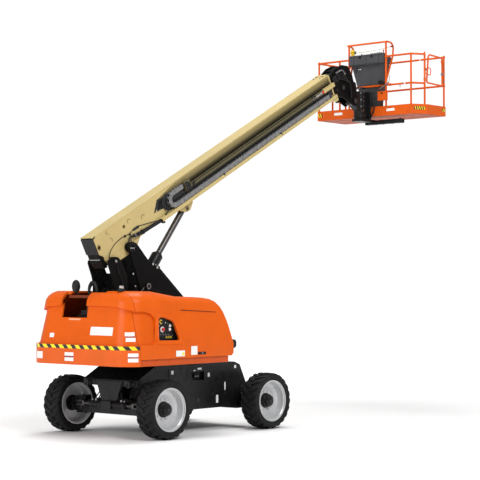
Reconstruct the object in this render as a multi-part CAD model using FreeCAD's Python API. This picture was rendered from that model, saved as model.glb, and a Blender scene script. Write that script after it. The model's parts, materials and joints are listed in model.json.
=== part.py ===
import FreeCAD, Part
import math
import os

os.makedirs("parts", exist_ok=True)
V = FreeCAD.Vector

# ---------------------------------------------------------------------------
# Telescopic boom lift, 18 m class.  Millimetres.
# Machine axes: +X forward (the way the boom points), +Y left, +Z up.
# The model is laid out from the slew axis at ground level and moved back at
# the end, so that the part's origin is the bottom centre of its own box.
# ---------------------------------------------------------------------------

# wheels and axles
AXLE_X = 1240.0            # half the wheelbase
HUB_Z = 470.0              # wheel centre above the ground
TYRE_R = 470.0
TYRE_IN, TYRE_OUT = 890.0, 1245.0      # tyre's inner and outer face, from the centre line
RIM_R = 335.0              # bead seat radius
KING_Y = 790.0             # kingpin, from the centre line
STEER_LINE_X = -1400.0     # line of the steering cylinder
STEER_LINE_Z = 500.0

# chassis
CH_Y = 620.0               # half width over the side plates
CH_TOP = 1120.0
CH_PLATE = 16.0

# turntable
TT_BOTTOM = 1165.0
TT_REAR, TT_FRONT = -2100.0, 275.0
TT_Y = 1200.0
TT_CORNER_R = 400.0
SEAM_X = -1852.0           # joint between the rear counterweight and the side hoods
CHAN_Y = 380.0             # half width of the open channel between the hoods
HOOD_T = 26.0
HINGE_Y, HINGE_Z = 405.0, 2160.0      # hood hinge line

# boom: local u runs up the boom from the main pin, w is square to it
PIN_X, PIN_Z = -1130.0, 3030.0
BOOM_ANGLE = 27.695
MAIN_PIN_R = 45.0
BASE_HW, BASE_W0, BASE_W1 = 140.0, 20.0, 479.0
MID_HW, MID_W0, MID_W1 = 116.0, 48.0, 453.0
FLY_HW, FLY_W0, FLY_W1 = 94.0, 74.0, 428.0
WALL_B, WALL_M, WALL_F = 10.0, 8.0, 7.0
BASE_U0, BASE_U1 = -612.0, 6200.0
MID_U0, MID_U1 = -350.0, 6262.0
FLY_U0, FLY_U1 = -100.0, 6420.0
TRAY_Y = 224.0             # outer face of the power-track tray

# lift cylinder
CYL_DIR = 51.8             # degrees from horizontal at rest
CYL_U, CYL_W = 1618.0, -85.0           # rod pin, boom coordinates
CYL_LEN = 2700.0           # pin to pin at rest
BARREL_LEN = 1711.0        # base pin to gland face
ROD_IN = 830.0             # inner end of the rod, from the base pin, at rest
BARREL_R, ROD_R = 92.0, 52.0

# boom nose and platform carrier
NOSE_X, NOSE_Z = 5020.0, 5930.0        # levelling pin
ROT_X = 5310.0                          # platform rotation axis
ROT_R = 108.0

# platform
PF_X0, PF_X1 = 5551.0, 6465.0
PF_Y = 1220.0
PF_Z = 5665.0
TOE_H = 190.0
RAIL_R = 19.0
RAIL_TOP = 6815.0
RAIL_MID = 6258.0


# ---------------------------------------------------------------------------
# helpers
# ---------------------------------------------------------------------------
def box(x0, x1, y0, y1, z0, z1):
    return Part.makeBox(x1 - x0, y1 - y0, z1 - z0, V(x0, y0, z0))


def cyl(p, axis, r, h):
    return Part.makeCylinder(r, h, V(*p), V(*axis))


def cyl_y(x, z, y0, y1, r):
    return Part.makeCylinder(r, y1 - y0, V(x, y0, z), V(0, 1, 0))


def cyl_z(x, y, z0, z1, r):
    return Part.makeCylinder(r, z1 - z0, V(x, y, z0), V(0, 0, 1))


def cyl_x(y, z, x0, x1, r):
    return Part.makeCylinder(r, x1 - x0, V(x0, y, z), V(1, 0, 0))


def prism_xz(pts, y0, y1):
    w = Part.makePolygon([V(x, y0, z) for x, z in pts] + [V(pts[0][0], y0, pts[0][1])])
    return Part.Face(w).extrude(V(0, y1 - y0, 0))


def prism_xy(pts, z0, z1):
    w = Part.makePolygon([V(x, y, z0) for x, y in pts] + [V(pts[0][0], pts[0][1], z0)])
    return Part.Face(w).extrude(V(0, 0, z1 - z0))


def prism_yz(pts, x0, x1):
    w = Part.makePolygon([V(x0, y, z) for y, z in pts] + [V(x0, pts[0][0], pts[0][1])])
    return Part.Face(w).extrude(V(x1 - x0, 0, 0))


def fuse(shapes):
    s = shapes[0]
    if len(shapes) > 1:
        s = s.multiFuse(shapes[1:])
    return s.removeSplitter()


def cut(s, tools):
    for t in tools:
        s = s.cut(t)
    return s.removeSplitter()


def mirror_y(s):
    return s.mirror(V(0, 0, 0), V(0, 1, 0))


def round_prism(pts, radii, plane, h0, h1):
    """Extruded polygon with true arc corners.  plane is 'xz', 'xy' or 'yz'."""
    def P(p, h):
        if plane == "xz":
            return V(p[0], h, p[1])
        if plane == "xy":
            return V(p[0], p[1], h)
        return V(h, p[0], p[1])
    edges = []
    m = len(pts)
    segs = []
    for i in range(m):
        p0, p, p1 = pts[i - 1], pts[i], pts[(i + 1) % m]
        r = radii[i]
        a = (p0[0] - p[0], p0[1] - p[1])
        b = (p1[0] - p[0], p1[1] - p[1])
        la, lb = math.hypot(*a), math.hypot(*b)
        a = (a[0] / la, a[1] / la)
        b = (b[0] / lb, b[1] / lb)
        cosv = max(-1.0, min(1.0, a[0] * b[0] + a[1] * b[1]))
        half = math.acos(cosv) / 2.0
        if r <= 0 or half > math.pi / 2 - 1e-3:
            segs.append((p, p, None))
            continue
        d = min(r / math.tan(half), 0.48 * la, 0.48 * lb)
        rr = d * math.tan(half)
        s = (p[0] + a[0] * d, p[1] + a[1] * d)
        e = (p[0] + b[0] * d, p[1] + b[1] * d)
        bis = (a[0] + b[0], a[1] + b[1])
        lbis = math.hypot(*bis)
        bis = (bis[0] / lbis, bis[1] / lbis)
        c = (p[0] + bis[0] * rr / math.sin(half), p[1] + bis[1] * rr / math.sin(half))
        mid = (c[0] - bis[0] * rr, c[1] - bis[1] * rr)
        segs.append((s, e, mid))
    for i in range(m):
        s, e, mid = segs[i]
        if mid is not None:
            edges.append(Part.Arc(P(s, h0), P(mid, h0), P(e, h0)).toShape())
        n = segs[(i + 1) % m][0]
        if math.hypot(n[0] - e[0], n[1] - e[1]) > 1e-6:
            edges.append(Part.LineSegment(P(e, h0), P(n, h0)).toShape())
    w = Part.Wire(edges)
    d = {"xz": V(0, h1 - h0, 0), "xy": V(0, 0, h1 - h0), "yz": V(h1 - h0, 0, 0)}[plane]
    return Part.Face(w).extrude(d)


def to_boom(s):
    """Boom coordinates (u along X, w along Z) to machine coordinates at rest."""
    s = s.copy()
    s.rotate(V(0, 0, 0), V(0, 1, 0), -BOOM_ANGLE)
    s.translate(V(PIN_X, 0, PIN_Z))
    return s


def from_boom(u, w):
    a = math.radians(BOOM_ANGLE)
    return (PIN_X + u * math.cos(a) - w * math.sin(a), PIN_Z + u * math.sin(a) + w * math.cos(a))


def tube_path(pts, r, radii=None):
    """Round tube along straight runs joined by tangent arcs."""
    n = len(pts)
    radii = radii or [0] * n
    edges = []
    last = V(*pts[0])
    for i in range(1, n):
        p = V(*pts[i])
        if i < n - 1 and radii[i] > 0:
            a = V(*pts[i - 1]) - p
            b = V(*pts[i + 1]) - p
            a.normalize()
            b.normalize()
            half = a.getAngle(b) / 2
            d = radii[i] / math.tan(half)
            s, e = p + a * d, p + b * d
            bis = a + b
            bis.normalize()
            c = p + bis * (radii[i] / math.sin(half))
            mid = c - bis * radii[i]
            edges.append(Part.LineSegment(last, s).toShape())
            edges.append(Part.Arc(s, mid, e).toShape())
            last = e
        else:
            edges.append(Part.LineSegment(last, p).toShape())
            last = p
    w = Part.Wire(edges)
    d = V(*pts[1]) - V(*pts[0])
    prof = Part.Wire([Part.makeCircle(r, V(*pts[0]), d)])
    return w.makePipeShell([prof], True, False, 1)


def revolve_y(profile, x, z):
    """Profile of (radius, y) turned about the Y axis through (x, z)."""
    pts = [V(x, y, z + r) for r, y in profile]
    f = Part.Face(Part.makePolygon(pts + [pts[0]]))
    return f.revolve(V(x, 0, z), V(0, 1, 0), 360)


parts = {}

# ---------------------------------------------------------------------------
# chassis
# ---------------------------------------------------------------------------
# long box weldment: full depth between the wheels, cut up over the steered
# axle and sloped down at both ends
side = [(-1370, 900), (-1070, 1060), (-960, CH_TOP), (960, CH_TOP), (1090, 1070), (1250, 760),
        (1250, 640), (1390, 560), (1390, 330), (1000, 330), (600, 372), (-700, 372),
        (-735, 560), (-800, 760), (-900, 860), (-1150, 880), (-1370, 800)]
outer = prism_xz(side, -CH_Y, CH_Y)
inner_pts = [(-1330, 892), (-1060, 1040), (-950, CH_TOP - 18), (950, CH_TOP - 18), (1080, 1052), (1234, 752),
             (1234, 622), (1374, 550), (1374, 346), (1000, 346), (600, 388), (-685, 388),
             (-720, 566), (-784, 770), (-890, 876), (-1150, 896), (-1330, 838)]
inner = prism_xz(inner_pts, -CH_Y + CH_PLATE, CH_Y - CH_PLATE)
frame = outer.cut(inner)
# the drive axle passes through the front of the frame
frame = frame.cut(box(1120, 1360, -CH_Y - 5, CH_Y + 5, 350, 590))
# recessed service pocket in each side plate, closed by its own back plate
pocket_pts = [(-130, 985), (190, 985), (190, 850), (-70, 850)]
for s in (-1, 1):
    y0, y1 = (-CH_Y - 1, -CH_Y + 70) if s < 0 else (CH_Y - 70, CH_Y + 1)
    po = [(-146, 1001), (206, 1001), (206, 834), (-80, 834)]
    yy0, yy1 = (-CH_Y, -CH_Y + 86) if s < 0 else (CH_Y - 86, CH_Y)
    frame = frame.fuse(prism_xz(po, yy0, yy1)).cut(prism_xz(pocket_pts, y0, y1))
# four tie-down lugs with a plain hole each, facing fore and aft
LUG_R = 20.0
for sy in (-1, 1):
    y0, y1 = sy * 480 - 48, sy * 480 + 48
    lug = box(1385, 1460, y0, y1, 478, 500).fuse(round_prism([(y0, 500), (y1, 500), (y1, 395), (y0, 395)], [0, 0, 40, 40], "yz", 1440, 1460))
    frame = frame.fuse(lug.cut(cyl_x(sy * 480, 440, 1400, 1500, LUG_R)))
    lug = box(-1445, -1365, y0, y1, 868, 888).fuse(round_prism([(y0, 888), (y1, 888), (y1, 785), (y0, 785)], [0, 0, 40, 40], "yz", -1445, -1425))
    frame = frame.fuse(lug.cut(cyl_x(sy * 480, 830, -1500, -1400, LUG_R)))
# hangers that carry the steered axle's centre pivot
for xx in (-1120, -1395):
    frame = frame.fuse(prism_yz([(-300, 880), (300, 880), (170, 560), (-170, 560)], xx, xx + 40))
parts["chassis_frame"] = frame.removeSplitter()

# outer race of the slew bearing, bolted to the chassis
ring = cyl_z(0, 0, CH_TOP, 1157, 520).cut(cyl_z(0, 0, CH_TOP - 1, 1158, 425))
parts["slew_ring"] = ring

# steered axle: beam with a forked yoke at each end
AX = -AXLE_X
beam = box(AX - 95, AX + 95, -690, 690, 345, 540)
beam = beam.fuse(prism_yz([(-560, 540), (560, 540), (300, 600), (-300, 600)], AX - 80, AX + 80))
for s in (-1, 1):
    y0, y1 = sorted((s * 640, s * 850))
    for z0, z1 in ((330, 372), (568, 610)):
        beam = beam.fuse(box(AX - 68, AX + 68, y0, y1, z0, z1))
    ya, yb = sorted((s * 640, s * 705))
    beam = beam.fuse(box(AX - 68, AX + 68, ya, yb, 330, 610))
    beam = beam.cut(cyl_z(AX, s * KING_Y, 300, 640, 30.5))
    # pocket for the steering arm at full lock
    pk = [(AX + a, s * (KING_Y + b)) for a, b in ((-110, -80), (8, -80), (-48, -208), (-54, -222), (-110, -222))]
    beam = beam.cut(prism_xy(pk, STEER_LINE_Z - 24, STEER_LINE_Z + 24))
    ya, yb = sorted((s * 560, s * 640))
    beam = beam.cut(prism_xy(pk, STEER_LINE_Z + 20, 560).common(box(AX - 120, AX, ya, yb, 400, 700)))
# pivot pin of the axle in the chassis hangers
beam = beam.fuse(box(AX - 78, AX + 78, -110, 110, 590, 720))
parts["steer_axle"] = beam.removeSplitter()

# drive axle: cross beam with a motor flange at each end
DX = AXLE_X
drv = box(DX - 100, DX + 100, -700, 700, 370, 570)
for s in (-1, 1):
    y0, y1 = sorted((s * 700, s * 860))
    drv = drv.fuse(cyl_y(DX, HUB_Z, y0, y1, 150))
    y0, y1 = sorted((s * 860, s * 1000))
    drv = drv.fuse(cyl_y(DX, HUB_Z, y0, y1, 110))
parts["drive_axle"] = drv.removeSplitter()

# steering cylinder: double-ended, clamped behind the axle beam
sc = cyl_y(STEER_LINE_X, STEER_LINE_Z, -400, 400, 55)
sc = sc.fuse(box(STEER_LINE_X - 68, AX - 95.2, -110, 110, 438, 558))
sc = sc.cut(cyl_y(STEER_LINE_X, STEER_LINE_Z, -410, 410, 26))
parts["steer_cylinder"] = sc.removeSplitter()
# rod right through, with a fork at each end for the steering arms
sr = cyl_y(STEER_LINE_X, STEER_LINE_Z, -560, 560, 25)
for s in (-1, 1):
    y0, y1 = sorted((s * 545, s * 590))
    sr = sr.fuse(box(STEER_LINE_X - 30, STEER_LINE_X + 30, y0, y1, STEER_LINE_Z - 38, STEER_LINE_Z + 38))
    y0, y1 = sorted((s * 580, s * 745))
    for z0, z1 in ((-38, -24), (24, 38)):
        sr = sr.fuse(box(STEER_LINE_X - 30, STEER_LINE_X + 30, y0, y1, STEER_LINE_Z + z0, STEER_LINE_Z + z1))
parts["steer_rod"] = sr.removeSplitter()

# steering knuckles: upright barrel between the yoke arms, spindle, arm
for s, nm in ((1, "left"), (-1, "right")):
    k = cyl_z(AX, s * KING_Y, 377, 563, 62)
    k = k.fuse(cyl_z(AX, s * KING_Y, 335, 605, 30))
    y0, y1 = sorted((s * 800, s * 905))
    k = k.fuse(box(AX - 70, AX + 70, y0, y1, 385, 555))
    y0, y1 = sorted((s * 890, s * 925))
    k = k.fuse(cyl_y(AX, HUB_Z, y0, y1, 120))
    y0, y1 = sorted((s * 925, s * 1000))
    k = k.fuse(cyl_y(AX, HUB_Z, y0, y1, 85))
    # steering arm towards the rod
    arm = prism_xy([(AX - 50, s * 740), (AX - 50, s * 830), (STEER_LINE_X - 5, s * 735), (STEER_LINE_X - 32, s * 690),
                    (STEER_LINE_X + 8, s * 665)], STEER_LINE_Z - 16, STEER_LINE_Z + 16)
    k = k.fuse(arm)
    parts["steer_knuckle_" + nm] = k.removeSplitter()

# wheels: deep dished rim, hub and tyre
def wheel(x, s, tag):
    o = s * TYRE_OUT
    def y(d):
        return s * (TYRE_OUT - d)
    # rim: outer flange, barrel, dished disc about 175 mm in from the outer face
    prof = [(345, y(18)), (345, y(34)), (322, y(44)), (322, y(160)), (318, y(328)), (345, y(340)), (345, y(356)),
            (330, y(356)), (306, y(338)), (306, y(212)), (230, y(196)), (96, y(196)), (96, y(180)),
            (232, y(180)), (306, y(150)), (309, y(44)), (325, y(18))]
    rim = revolve_y(prof, x, HUB_Z)
    # hub over the disc, drilled for the spindle end
    y0, y1 = sorted((y(60), y(236)))
    hub = cyl_y(x, HUB_Z, y0, y1, 128)
    rim = rim.fuse(hub)
    parts["wheel_" + tag] = rim.removeSplitter()
    tprof = [(346, y(20)), (400, y(3)), (425, y(0)), (452, y(22)), (TYRE_R, y(62)),
             (TYRE_R, y(293)), (452, y(333)), (425, y(355)), (400, y(352)), (346, y(338)), (330, y(326)), (330, y(46)), (346, y(36))]
    parts["tyre_" + tag] = revolve_y(tprof, x, HUB_Z)


wheel(-AXLE_X, 1, "rear_left")
wheel(-AXLE_X, -1, "rear_right")
wheel(AXLE_X, 1, "front_left")
wheel(AXLE_X, -1, "front_right")

# ---------------------------------------------------------------------------
# turntable
# ---------------------------------------------------------------------------
def plan(x0, x1, hy, r_rear, r_front, z0, z1):
    return round_prism([(x0, -hy), (x1, -hy), (x1, hy), (x0, hy)], [r_rear, r_front, r_front, r_rear], "xy", z0, z1)


# floor of the turntable with its skirt, inset at the bottom of the hoods
floor = plan(SEAM_X + 7, 215, 1170, 30, 60, TT_BOTTOM, 1262)
floor = floor.cut(plan(SEAM_X + 37, 190, 1145, 30, 45, TT_BOTTOM + 25, 1263))
floor = floor.fuse(box(SEAM_X + 7, 200, -CHAN_Y, CHAN_Y, TT_BOTTOM, 1190)).fuse(box(SEAM_X + 7, 200, -CHAN_Y, CHAN_Y, 1225, 1245))
for yy in (-CHAN_Y + 8, -8, CHAN_Y - 24):
    floor = floor.fuse(box(SEAM_X + 7, 200, yy, yy + 16, 1185, 1230))
# inner race of the slew bearing
floor = floor.fuse(cyl_z(0, 0, 1128, TT_BOTTOM + 5, 418).cut(cyl_z(0, 0, 1127, TT_BOTTOM + 6, 330)))
# inner walls of the two machinery bays
for s in (-1, 1):
    y0, y1 = sorted((s * (CHAN_Y - 24), s * (CHAN_Y - 8)))
    wall = prism_xz([(-1540, 1240), (120, 1240), (120, 1760), (-140, 2020), (-1540, 2100)], y0, y1)
    floor = floor.fuse(wall)
    # hinge pins of the hoods, on lugs from the wall
    for hx in (-1380.0, -640.0):
        floor = floor.fuse(round_prism([(s * 357, 2000), (s * 418, 2000), (s * 418, HINGE_Z + 14), (s * 392, HINGE_Z + 14), (s * 357, HINGE_Z - 75)],
                                       [0, 0, 10, 10, 0], "yz", hx - 42, hx + 42))
        floor = floor.fuse(cyl_x(s * HINGE_Y, HINGE_Z, hx - 70, hx + 70, 12))
parts["turntable_frame"] = floor.removeSplitter()

# main uprights: one plate each side of the boom, with a base foot
up = [(PIN_X - 75, PIN_Z + 40), (PIN_X + 20, PIN_Z + 95), (PIN_X + 118, PIN_Z + 62), (-710, 2790), (-480, 2700),
      (100, 2216), (165, 2060), (165, 1246), (-560, 1246), (-640, 1640), (-920, 2340)]
UP_IN, UP_OUT = 208.0, 246.0
uprights = None
for s, nm in ((1, "left"), (-1, "right")):
    y0, y1 = sorted((s * UP_IN, s * UP_OUT))
    p = round_prism(up, [60, 70, 60, 60, 40, 20, 30, 0, 0, 60, 0], "xz", y0, y1)
    # bearing boss of the main pin, and a stub pin boss lower down
    ya, yb = sorted((s * (UP_IN - 40), s * (UP_OUT + 14)))
    p = p.fuse(cyl_y(PIN_X, PIN_Z, ya, yb, 82))
    ya, yb = sorted((s * (UP_OUT - 5), s * (UP_OUT + 22)))
    p = p.fuse(cyl_y(-760, 2400, ya, yb, 48))
    # foot flange
    ya, yb = sorted((s * UP_IN, s * 345))
    p = p.fuse(box(-560, 165, ya, yb, 1246, 1276))
    uprights = p if uprights is None else uprights.fuse(p)
# main pin through both plates, and the tie plate low down between them
uprights = uprights.fuse(cyl_y(PIN_X, PIN_Z, -UP_OUT - 16, UP_OUT + 16, MAIN_PIN_R))
uprights = uprights.fuse(box(60, 100, -UP_IN - 1, UP_IN + 1, 1300, 1930))
parts["boom_uprights"] = uprights.removeSplitter()

# rear posts, behind the uprights
post = [(-1655, 2790), (-1575, 2870), (-1435, 2870), (-1350, 2800), (-1225, 2580), (-1205, 2330), (-960, 1640), (-860, 1246),
        (-1460, 1246), (-1455, 1640), (-1490, 2330), (-1560, 2560)]
posts = None
for s, nm in ((1, "left"), (-1, "right")):
    y0, y1 = sorted((s * (UP_IN + 2), s * (UP_OUT - 2)))
    p = round_prism(post, [60, 60, 60, 60, 40, 0, 0, 0, 0, 0, 0, 0], "xz", y0, y1)
    ya, yb = sorted((s * (UP_OUT - 10), s * (UP_OUT + 16)))
    p = p.fuse(cyl_y(-1495, 2800, ya, yb, 34))
    ya, yb = sorted((s * (UP_IN + 2), s * 345))
    p = p.fuse(box(-1440, -880, ya, yb, 1246, 1276))
    posts = p if posts is None else posts.fuse(p)
# cross plate between the posts
posts = posts.fuse(prism_xz([(-1450, 1720), (-1425, 1720), (-1450, 2120), (-1475, 2120)], -UP_IN - 3, UP_IN + 3))
parts["rear_posts"] = posts.removeSplitter()

# cradle of the lift cylinder's base pin
a = math.radians(CYL_DIR)
gx, gz = from_boom(CYL_U, CYL_W)
cx, cz = gx - CYL_LEN * math.cos(a), gz - CYL_LEN * math.sin(a)
cr = None
for s in (-1, 1):
    y0, y1 = sorted((s * 112, s * 150))
    p = round_prism([(cx - 170, 1246), (cx + 260, 1246), (cx + 95, cz + 30), (cx, cz + 95), (cx - 95, cz + 20)],
                    [0, 0, 60, 70, 60], "xz", y0, y1)
    cr = p if cr is None else cr.fuse(p)
cr = cr.fuse(cyl_y(cx, cz, -180, 180, 45))
cr = cr.fuse(box(cx - 170, cx + 260, -150, 150, 1246, 1290))
parts["cylinder_cradle"] = cr.removeSplitter()

# counterweight: low casting with its raised core behind the bays
cw = round_prism([(TT_REAR, -TT_Y), (SEAM_X, -TT_Y), (SEAM_X, TT_Y), (TT_REAR, TT_Y)], [0, 0, 0, 0], "xy", TT_BOTTOM, 1480)
cw = cw.common(plan(TT_REAR, -1000, TT_Y, TT_CORNER_R, 0, TT_BOTTOM - 1, 1481))
core = prism_xy([(SEAM_X + 4, -800), (-1838, -930), (-1790, -975), (-1700, -1015), (-1560, -1020),
                 (-1560, 1020), (-1700, 1015), (-1790, 975), (-1838, 930), (SEAM_X + 4, 800)], 1272, 1860)
cw = cw.fuse(box(SEAM_X - 20, SEAM_X + 6, -800, 800, 1272, 1479)).fuse(core)
parts["counterweight"] = cw.removeSplitter()

# outer body above the floor: one surface, split into the rear cover and the
# two hoods.  The rear is a stack of rounded rings; forward of BODY_SPLIT the
# roof falls away, so sections square to X are used there.
BODY_SPLIT = -1500.0
SHOULDER_Z = 1480.0
ROOF_Z = 2325.0
RINGS = [(1262, 0), (SHOULDER_Z, 0), (2130, 122), (2185, 130), (2245, 165), (2290, 215), (ROOF_Z, 290)]
ROOF = [(-1500, 2325, 195), (-1400, 2322, 190), (-900, 2240, 125), (-500, 2228, 120), (-250, 2215, 120),
        (-100, 2195, 120), (0, 2165, 120), (80, 2105, 120), (135, 2020, 110), (175, 1920, 100), (210, 1800, 90), (TT_FRONT, 1530, 80)]


def ring_wire(z, inset, x_front):
    hy = TT_Y - inset
    x0 = TT_REAR + inset
    r = TT_CORNER_R - 0.6 * inset
    k = math.sqrt(0.5)
    cxx, cyy = x0 + r, hy - r
    e = [Part.LineSegment(V(x_front, -hy, z), V(cxx, -hy, z)).toShape(),
         Part.Arc(V(cxx, -hy, z), V(cxx - r * k, -cyy - r * k, z), V(x0, -cyy, z)).toShape(),
         Part.LineSegment(V(x0, -cyy, z), V(x0, cyy, z)).toShape(),
         Part.Arc(V(x0, cyy, z), V(cxx - r * k, cyy + r * k, z), V(cxx, hy, z)).toShape(),
         Part.LineSegment(V(cxx, hy, z), V(x_front, hy, z)).toShape(),
         Part.LineSegment(V(x_front, hy, z), V(x_front, -hy, z)).toShape()]
    return Part.Wire(e)


def body_rear(d, x_front=BODY_SPLIT):
    """Rear of the body as a solid, every face moved in by d."""
    rings = []
    for i, (z, ins) in enumerate(RINGS):
        zz = z - 80 if (i == 0 and d) else (z - d if i > 3 else z)
        rings.append(ring_wire(zz, ins + d, x_front))
    return Part.makeLoft(rings, True, True)


def body_front(d, y_in):
    """Right half forward of BODY_SPLIT, moved in by d."""
    wires = []
    for i, (x, top, drop) in enumerate(ROOF):
        top = top - d
        z3 = top - drop
        z2 = min(SHOULDER_Z, z3 - 10)
        a = max(0.0, 122.0 * (z3 + (d if i else d) - SHOULDER_Z) / 650.0)
        k = drop / 195.0
        y = -TT_Y + d
        zb = 1262 - (80 if d else 0)
        pts = [(y_in, zb), (y, zb), (y, z2), (y + a, z3), (y + a + 8 * k, top - 0.718 * drop),
               (y + a + 43 * k, top - 0.41 * drop), (y + a + 93 * k, top - 0.18 * drop), (y + a + 168 * k, top), (y_in, top)]
        xx = x - d * max(0.0, min(1.0, (x + 300) / 300.0))
        wires.append(Part.makePolygon([V(xx, p[0], p[1]) for p in pts] + [V(xx, pts[0][0], pts[0][1])]))
    return Part.makeLoft(wires, True, True)


COVER_RECESS = 48.0
HOOD_BOT = 1268.0
HOOD_IN = -CHAN_Y - 20

# rear cover: recessed wall under a rolled lip that runs right round
big = 3000.0
NOTCH_Y0, NOTCH_Y1 = -95.0, 490.0
out0 = body_rear(0)
rec = prism_yz([(-1400, SHOULDER_Z), (1400, SHOULDER_Z), (1400, 1985), (1060, 2010), (820, 2075), (500, 2096),
                (-500, 2096), (-820, 2075), (-1060, 2010), (-1400, 1985)], -2300, SEAM_X + 1).cut(body_rear(COVER_RECESS))
rc = out0.cut(rec)
rin = body_rear(30)
rin_low = prism_yz([(-1400, 1400), (1400, 1400), (1400, 2015), (1060, 2042), (820, 2107), (500, 2128),
                    (-500, 2128), (-820, 2107), (-1060, 2042), (-1400, 2015)], -2300, SEAM_X + 100).cut(body_rear(COVER_RECESS + 30))
rc = rc.cut(rin.cut(rin_low))
rc = rc.common(box(-2300, SEAM_X, -1300, 1300, SHOULDER_Z, 2400))
# notch for the boom's tail
rc = rc.cut(box(-2300, SEAM_X + 120, NOTCH_Y0, NOTCH_Y1, 1905, 2400))
parts["rear_cover"] = rc.removeSplitter()

# side hoods
panel = [(-1950, 1492), (-1640, 1492), (-1570, 1502), (-1515, 1545), (-1490, 1620), (-1474, 1840), (-1490, 1905), (-1560, 1972), (-1680, 2008), (-1950, 2012)]
panel_in = [(-2000, 1464), (-1620, 1464), (-1545, 1480), (-1487, 1530), (-1462, 1610), (-1446, 1845), (-1464, 1918), (-1545, 1998), (-1680, 2036), (-2000, 2042)]


def hood_outer(d):
    s = body_rear(d).common(box(-3000, BODY_SPLIT, -1300, HOOD_IN if d == 0 else HOOD_IN + 90, 1100, 2400))
    return s.fuse(body_front(d, HOOD_IN if d == 0 else HOOD_IN + 90))


ho = hood_outer(0)
ho = ho.cut(prism_xz(panel, -1300, -990).cut(body_rear(COVER_RECESS, 0)))
hi = hood_outer(HOOD_T)
hi = hi.cut(prism_xz(panel_in, -1300, -960).cut(body_rear(COVER_RECESS + HOOD_T, 0)))
h = ho.cut(hi).common(box(SEAM_X + 6, 400, -1300, HOOD_IN, HOOD_BOT, 2400))
# lower front corner
h = h.cut(prism_xz([(TT_FRONT - 40, HOOD_BOT - 1), (TT_FRONT + 1, HOOD_BOT - 1), (TT_FRONT + 1, HOOD_BOT + 50)], -1300, -300))
# hinge ears under the roof, round the frame's hinge pins

EAR_X = (-1380.0, -640.0)
for hx in EAR_X:
    for dx0 in (-62, 50):
        ear = round_prism([(-430, HINGE_Z - 18), (-382, HINGE_Z - 18), (-402, 2300), (-430, 2300)], [14, 14, 0, 0], "yz", hx + dx0, hx + dx0 + 12)
        ear = ear.common(box(-3000, 3000, -600, HOOD_IN - 2, 1900, 2300 if hx < -1000 else 2216).fuse(box(-3000, 3000, -600, -300, 1900, HINGE_Z + 24)))
        ear = ear.cut(cyl_x(-HINGE_Y, HINGE_Z, hx - 100, hx + 100, 13.0))
        h = h.fuse(ear)
hood_plain = h
# ground-control window
win = [(-1405, 1905), (-1318, 1925), (-1085, 1858), (-1052, 1810), (-975, 1545), (-1465, 1556)]
h = h.cut(round_prism(win, [30, 30, 40, 30, 30, 30], "xz", -1300, -900))
parts["hood_right"] = h.removeSplitter()
parts["hood_left"] = mirror_y(hood_plain).removeSplitter()

# rubber stops on the front corners of the hoods
for s, nm in ((-1, "right"), (1, "left")):
    y0, y1 = sorted((s * 1030, s * 1150))
    parts["hood_bumper_" + nm] = round_prism([(TT_FRONT + 0.3, 1535), (TT_FRONT + 105, 1520), (TT_FRONT + 130, 1490), (TT_FRONT + 130, 1405), (TT_FRONT + 0.3, 1345)],
                                              [0, 15, 25, 30, 0], "xz", y0, y1)

# ground control panel behind the window, on a bracket from the floor
gc = prism_xz([(-1478, 1500), (-1478, 1700), (-1440, 1760), (-1440, 1950), (-960, 1950), (-960, 1500)], -1062, -1022)
gc = gc.fuse(box(-1300, -1240, -1060, -1024, TT_BOTTOM + 25.3, 1510))
parts["ground_controls"] = gc.removeSplitter()

# engine as one plain block in the left bay
parts["engine_block"] = box(-1300, -450, 480, 1000, TT_BOTTOM + 25, 1850)

# ---------------------------------------------------------------------------
# boom
# ---------------------------------------------------------------------------
GAP = 0.2                   # weld gap between the plates of a boom tube


def plates(u0, u1, hw, w0, w1, t, tb):
    """Bottom, top, right and left plate of a welded box tube."""
    return [box(u0, u1, -hw, hw, w0, w0 + tb), box(u0, u1, -hw, hw, w1 - tb, w1),
            box(u0, u1, -hw, -hw + t, w0 + tb + GAP, w1 - tb - GAP), box(u0, u1, hw - t, hw, w0 + tb + GAP, w1 - tb - GAP)]


base = plates(BASE_U0, BASE_U1, BASE_HW, BASE_W0, BASE_W1, WALL_B, 12)
# hinge lugs below the tail, with the main pin's bore
for s in (-1, 1):
    y0, y1 = sorted((s * 118, s * 160))
    lug = round_prism([(-505, 30), (342, 30), (215, -70), (60, -112), (-60, -112), (-400, -100), (-500, -85)],
                      [0, 0, 30, 60, 60, 30, 30], "xz", y0, y1)
    base[0] = base[0].fuse(lug)
# cross tube round the pin, then the bore
base[0] = base[0].fuse(cyl_y(0, 0, -160, 160, 74).common(box(-100, 100, -161, 161, -100, 31.9)))
# tail: top corner chamfered, bottom corner cut away
tail = [prism_xz([(-700, 440), (-640, 446), (-575, 490), (-700, 490)], -300, 300),
        prism_xz([(-700, 0), (-535, 0), (-535, 100), (-612, 173), (-700, 173)], -300, 300)]
base = [cut(b, tail + [cyl_y(0, 0, -300, 300, MAIN_PIN_R + 0.5)]) for b in base]
parts["boom_base_tube"] = to_boom(Part.Compound(base))

# tail cap
cap = box(-627, -612.4, -BASE_HW - 4, BASE_HW + 4, 176, 456)
parts["boom_end_cap"] = to_boom(cap)

# bracket for the lift cylinder's rod under the boom
br = None
for s in (-1, 1):
    y0, y1 = sorted((s * 62, s * 92))
    p = round_prism([(1400, 19.8), (1850, 19.8), (1790, -60), (1690, -140), (1600, -140), (1470, -60)],
                    [0, 0, 40, 60, 60, 40], "xz", y0, y1)
    br = p if br is None else br.fuse(p)
parts["lift_bracket"] = to_boom(br)

# power-track tray along the right side
tr = box(880, BASE_U1, -TRAY_Y, -BASE_HW - 0.2, 74, 84)
tr = tr.fuse(box(880, BASE_U1, -TRAY_Y, -TRAY_Y + 8, 28, 84))
parts["track_tray"] = to_boom(tr.removeSplitter())
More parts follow.
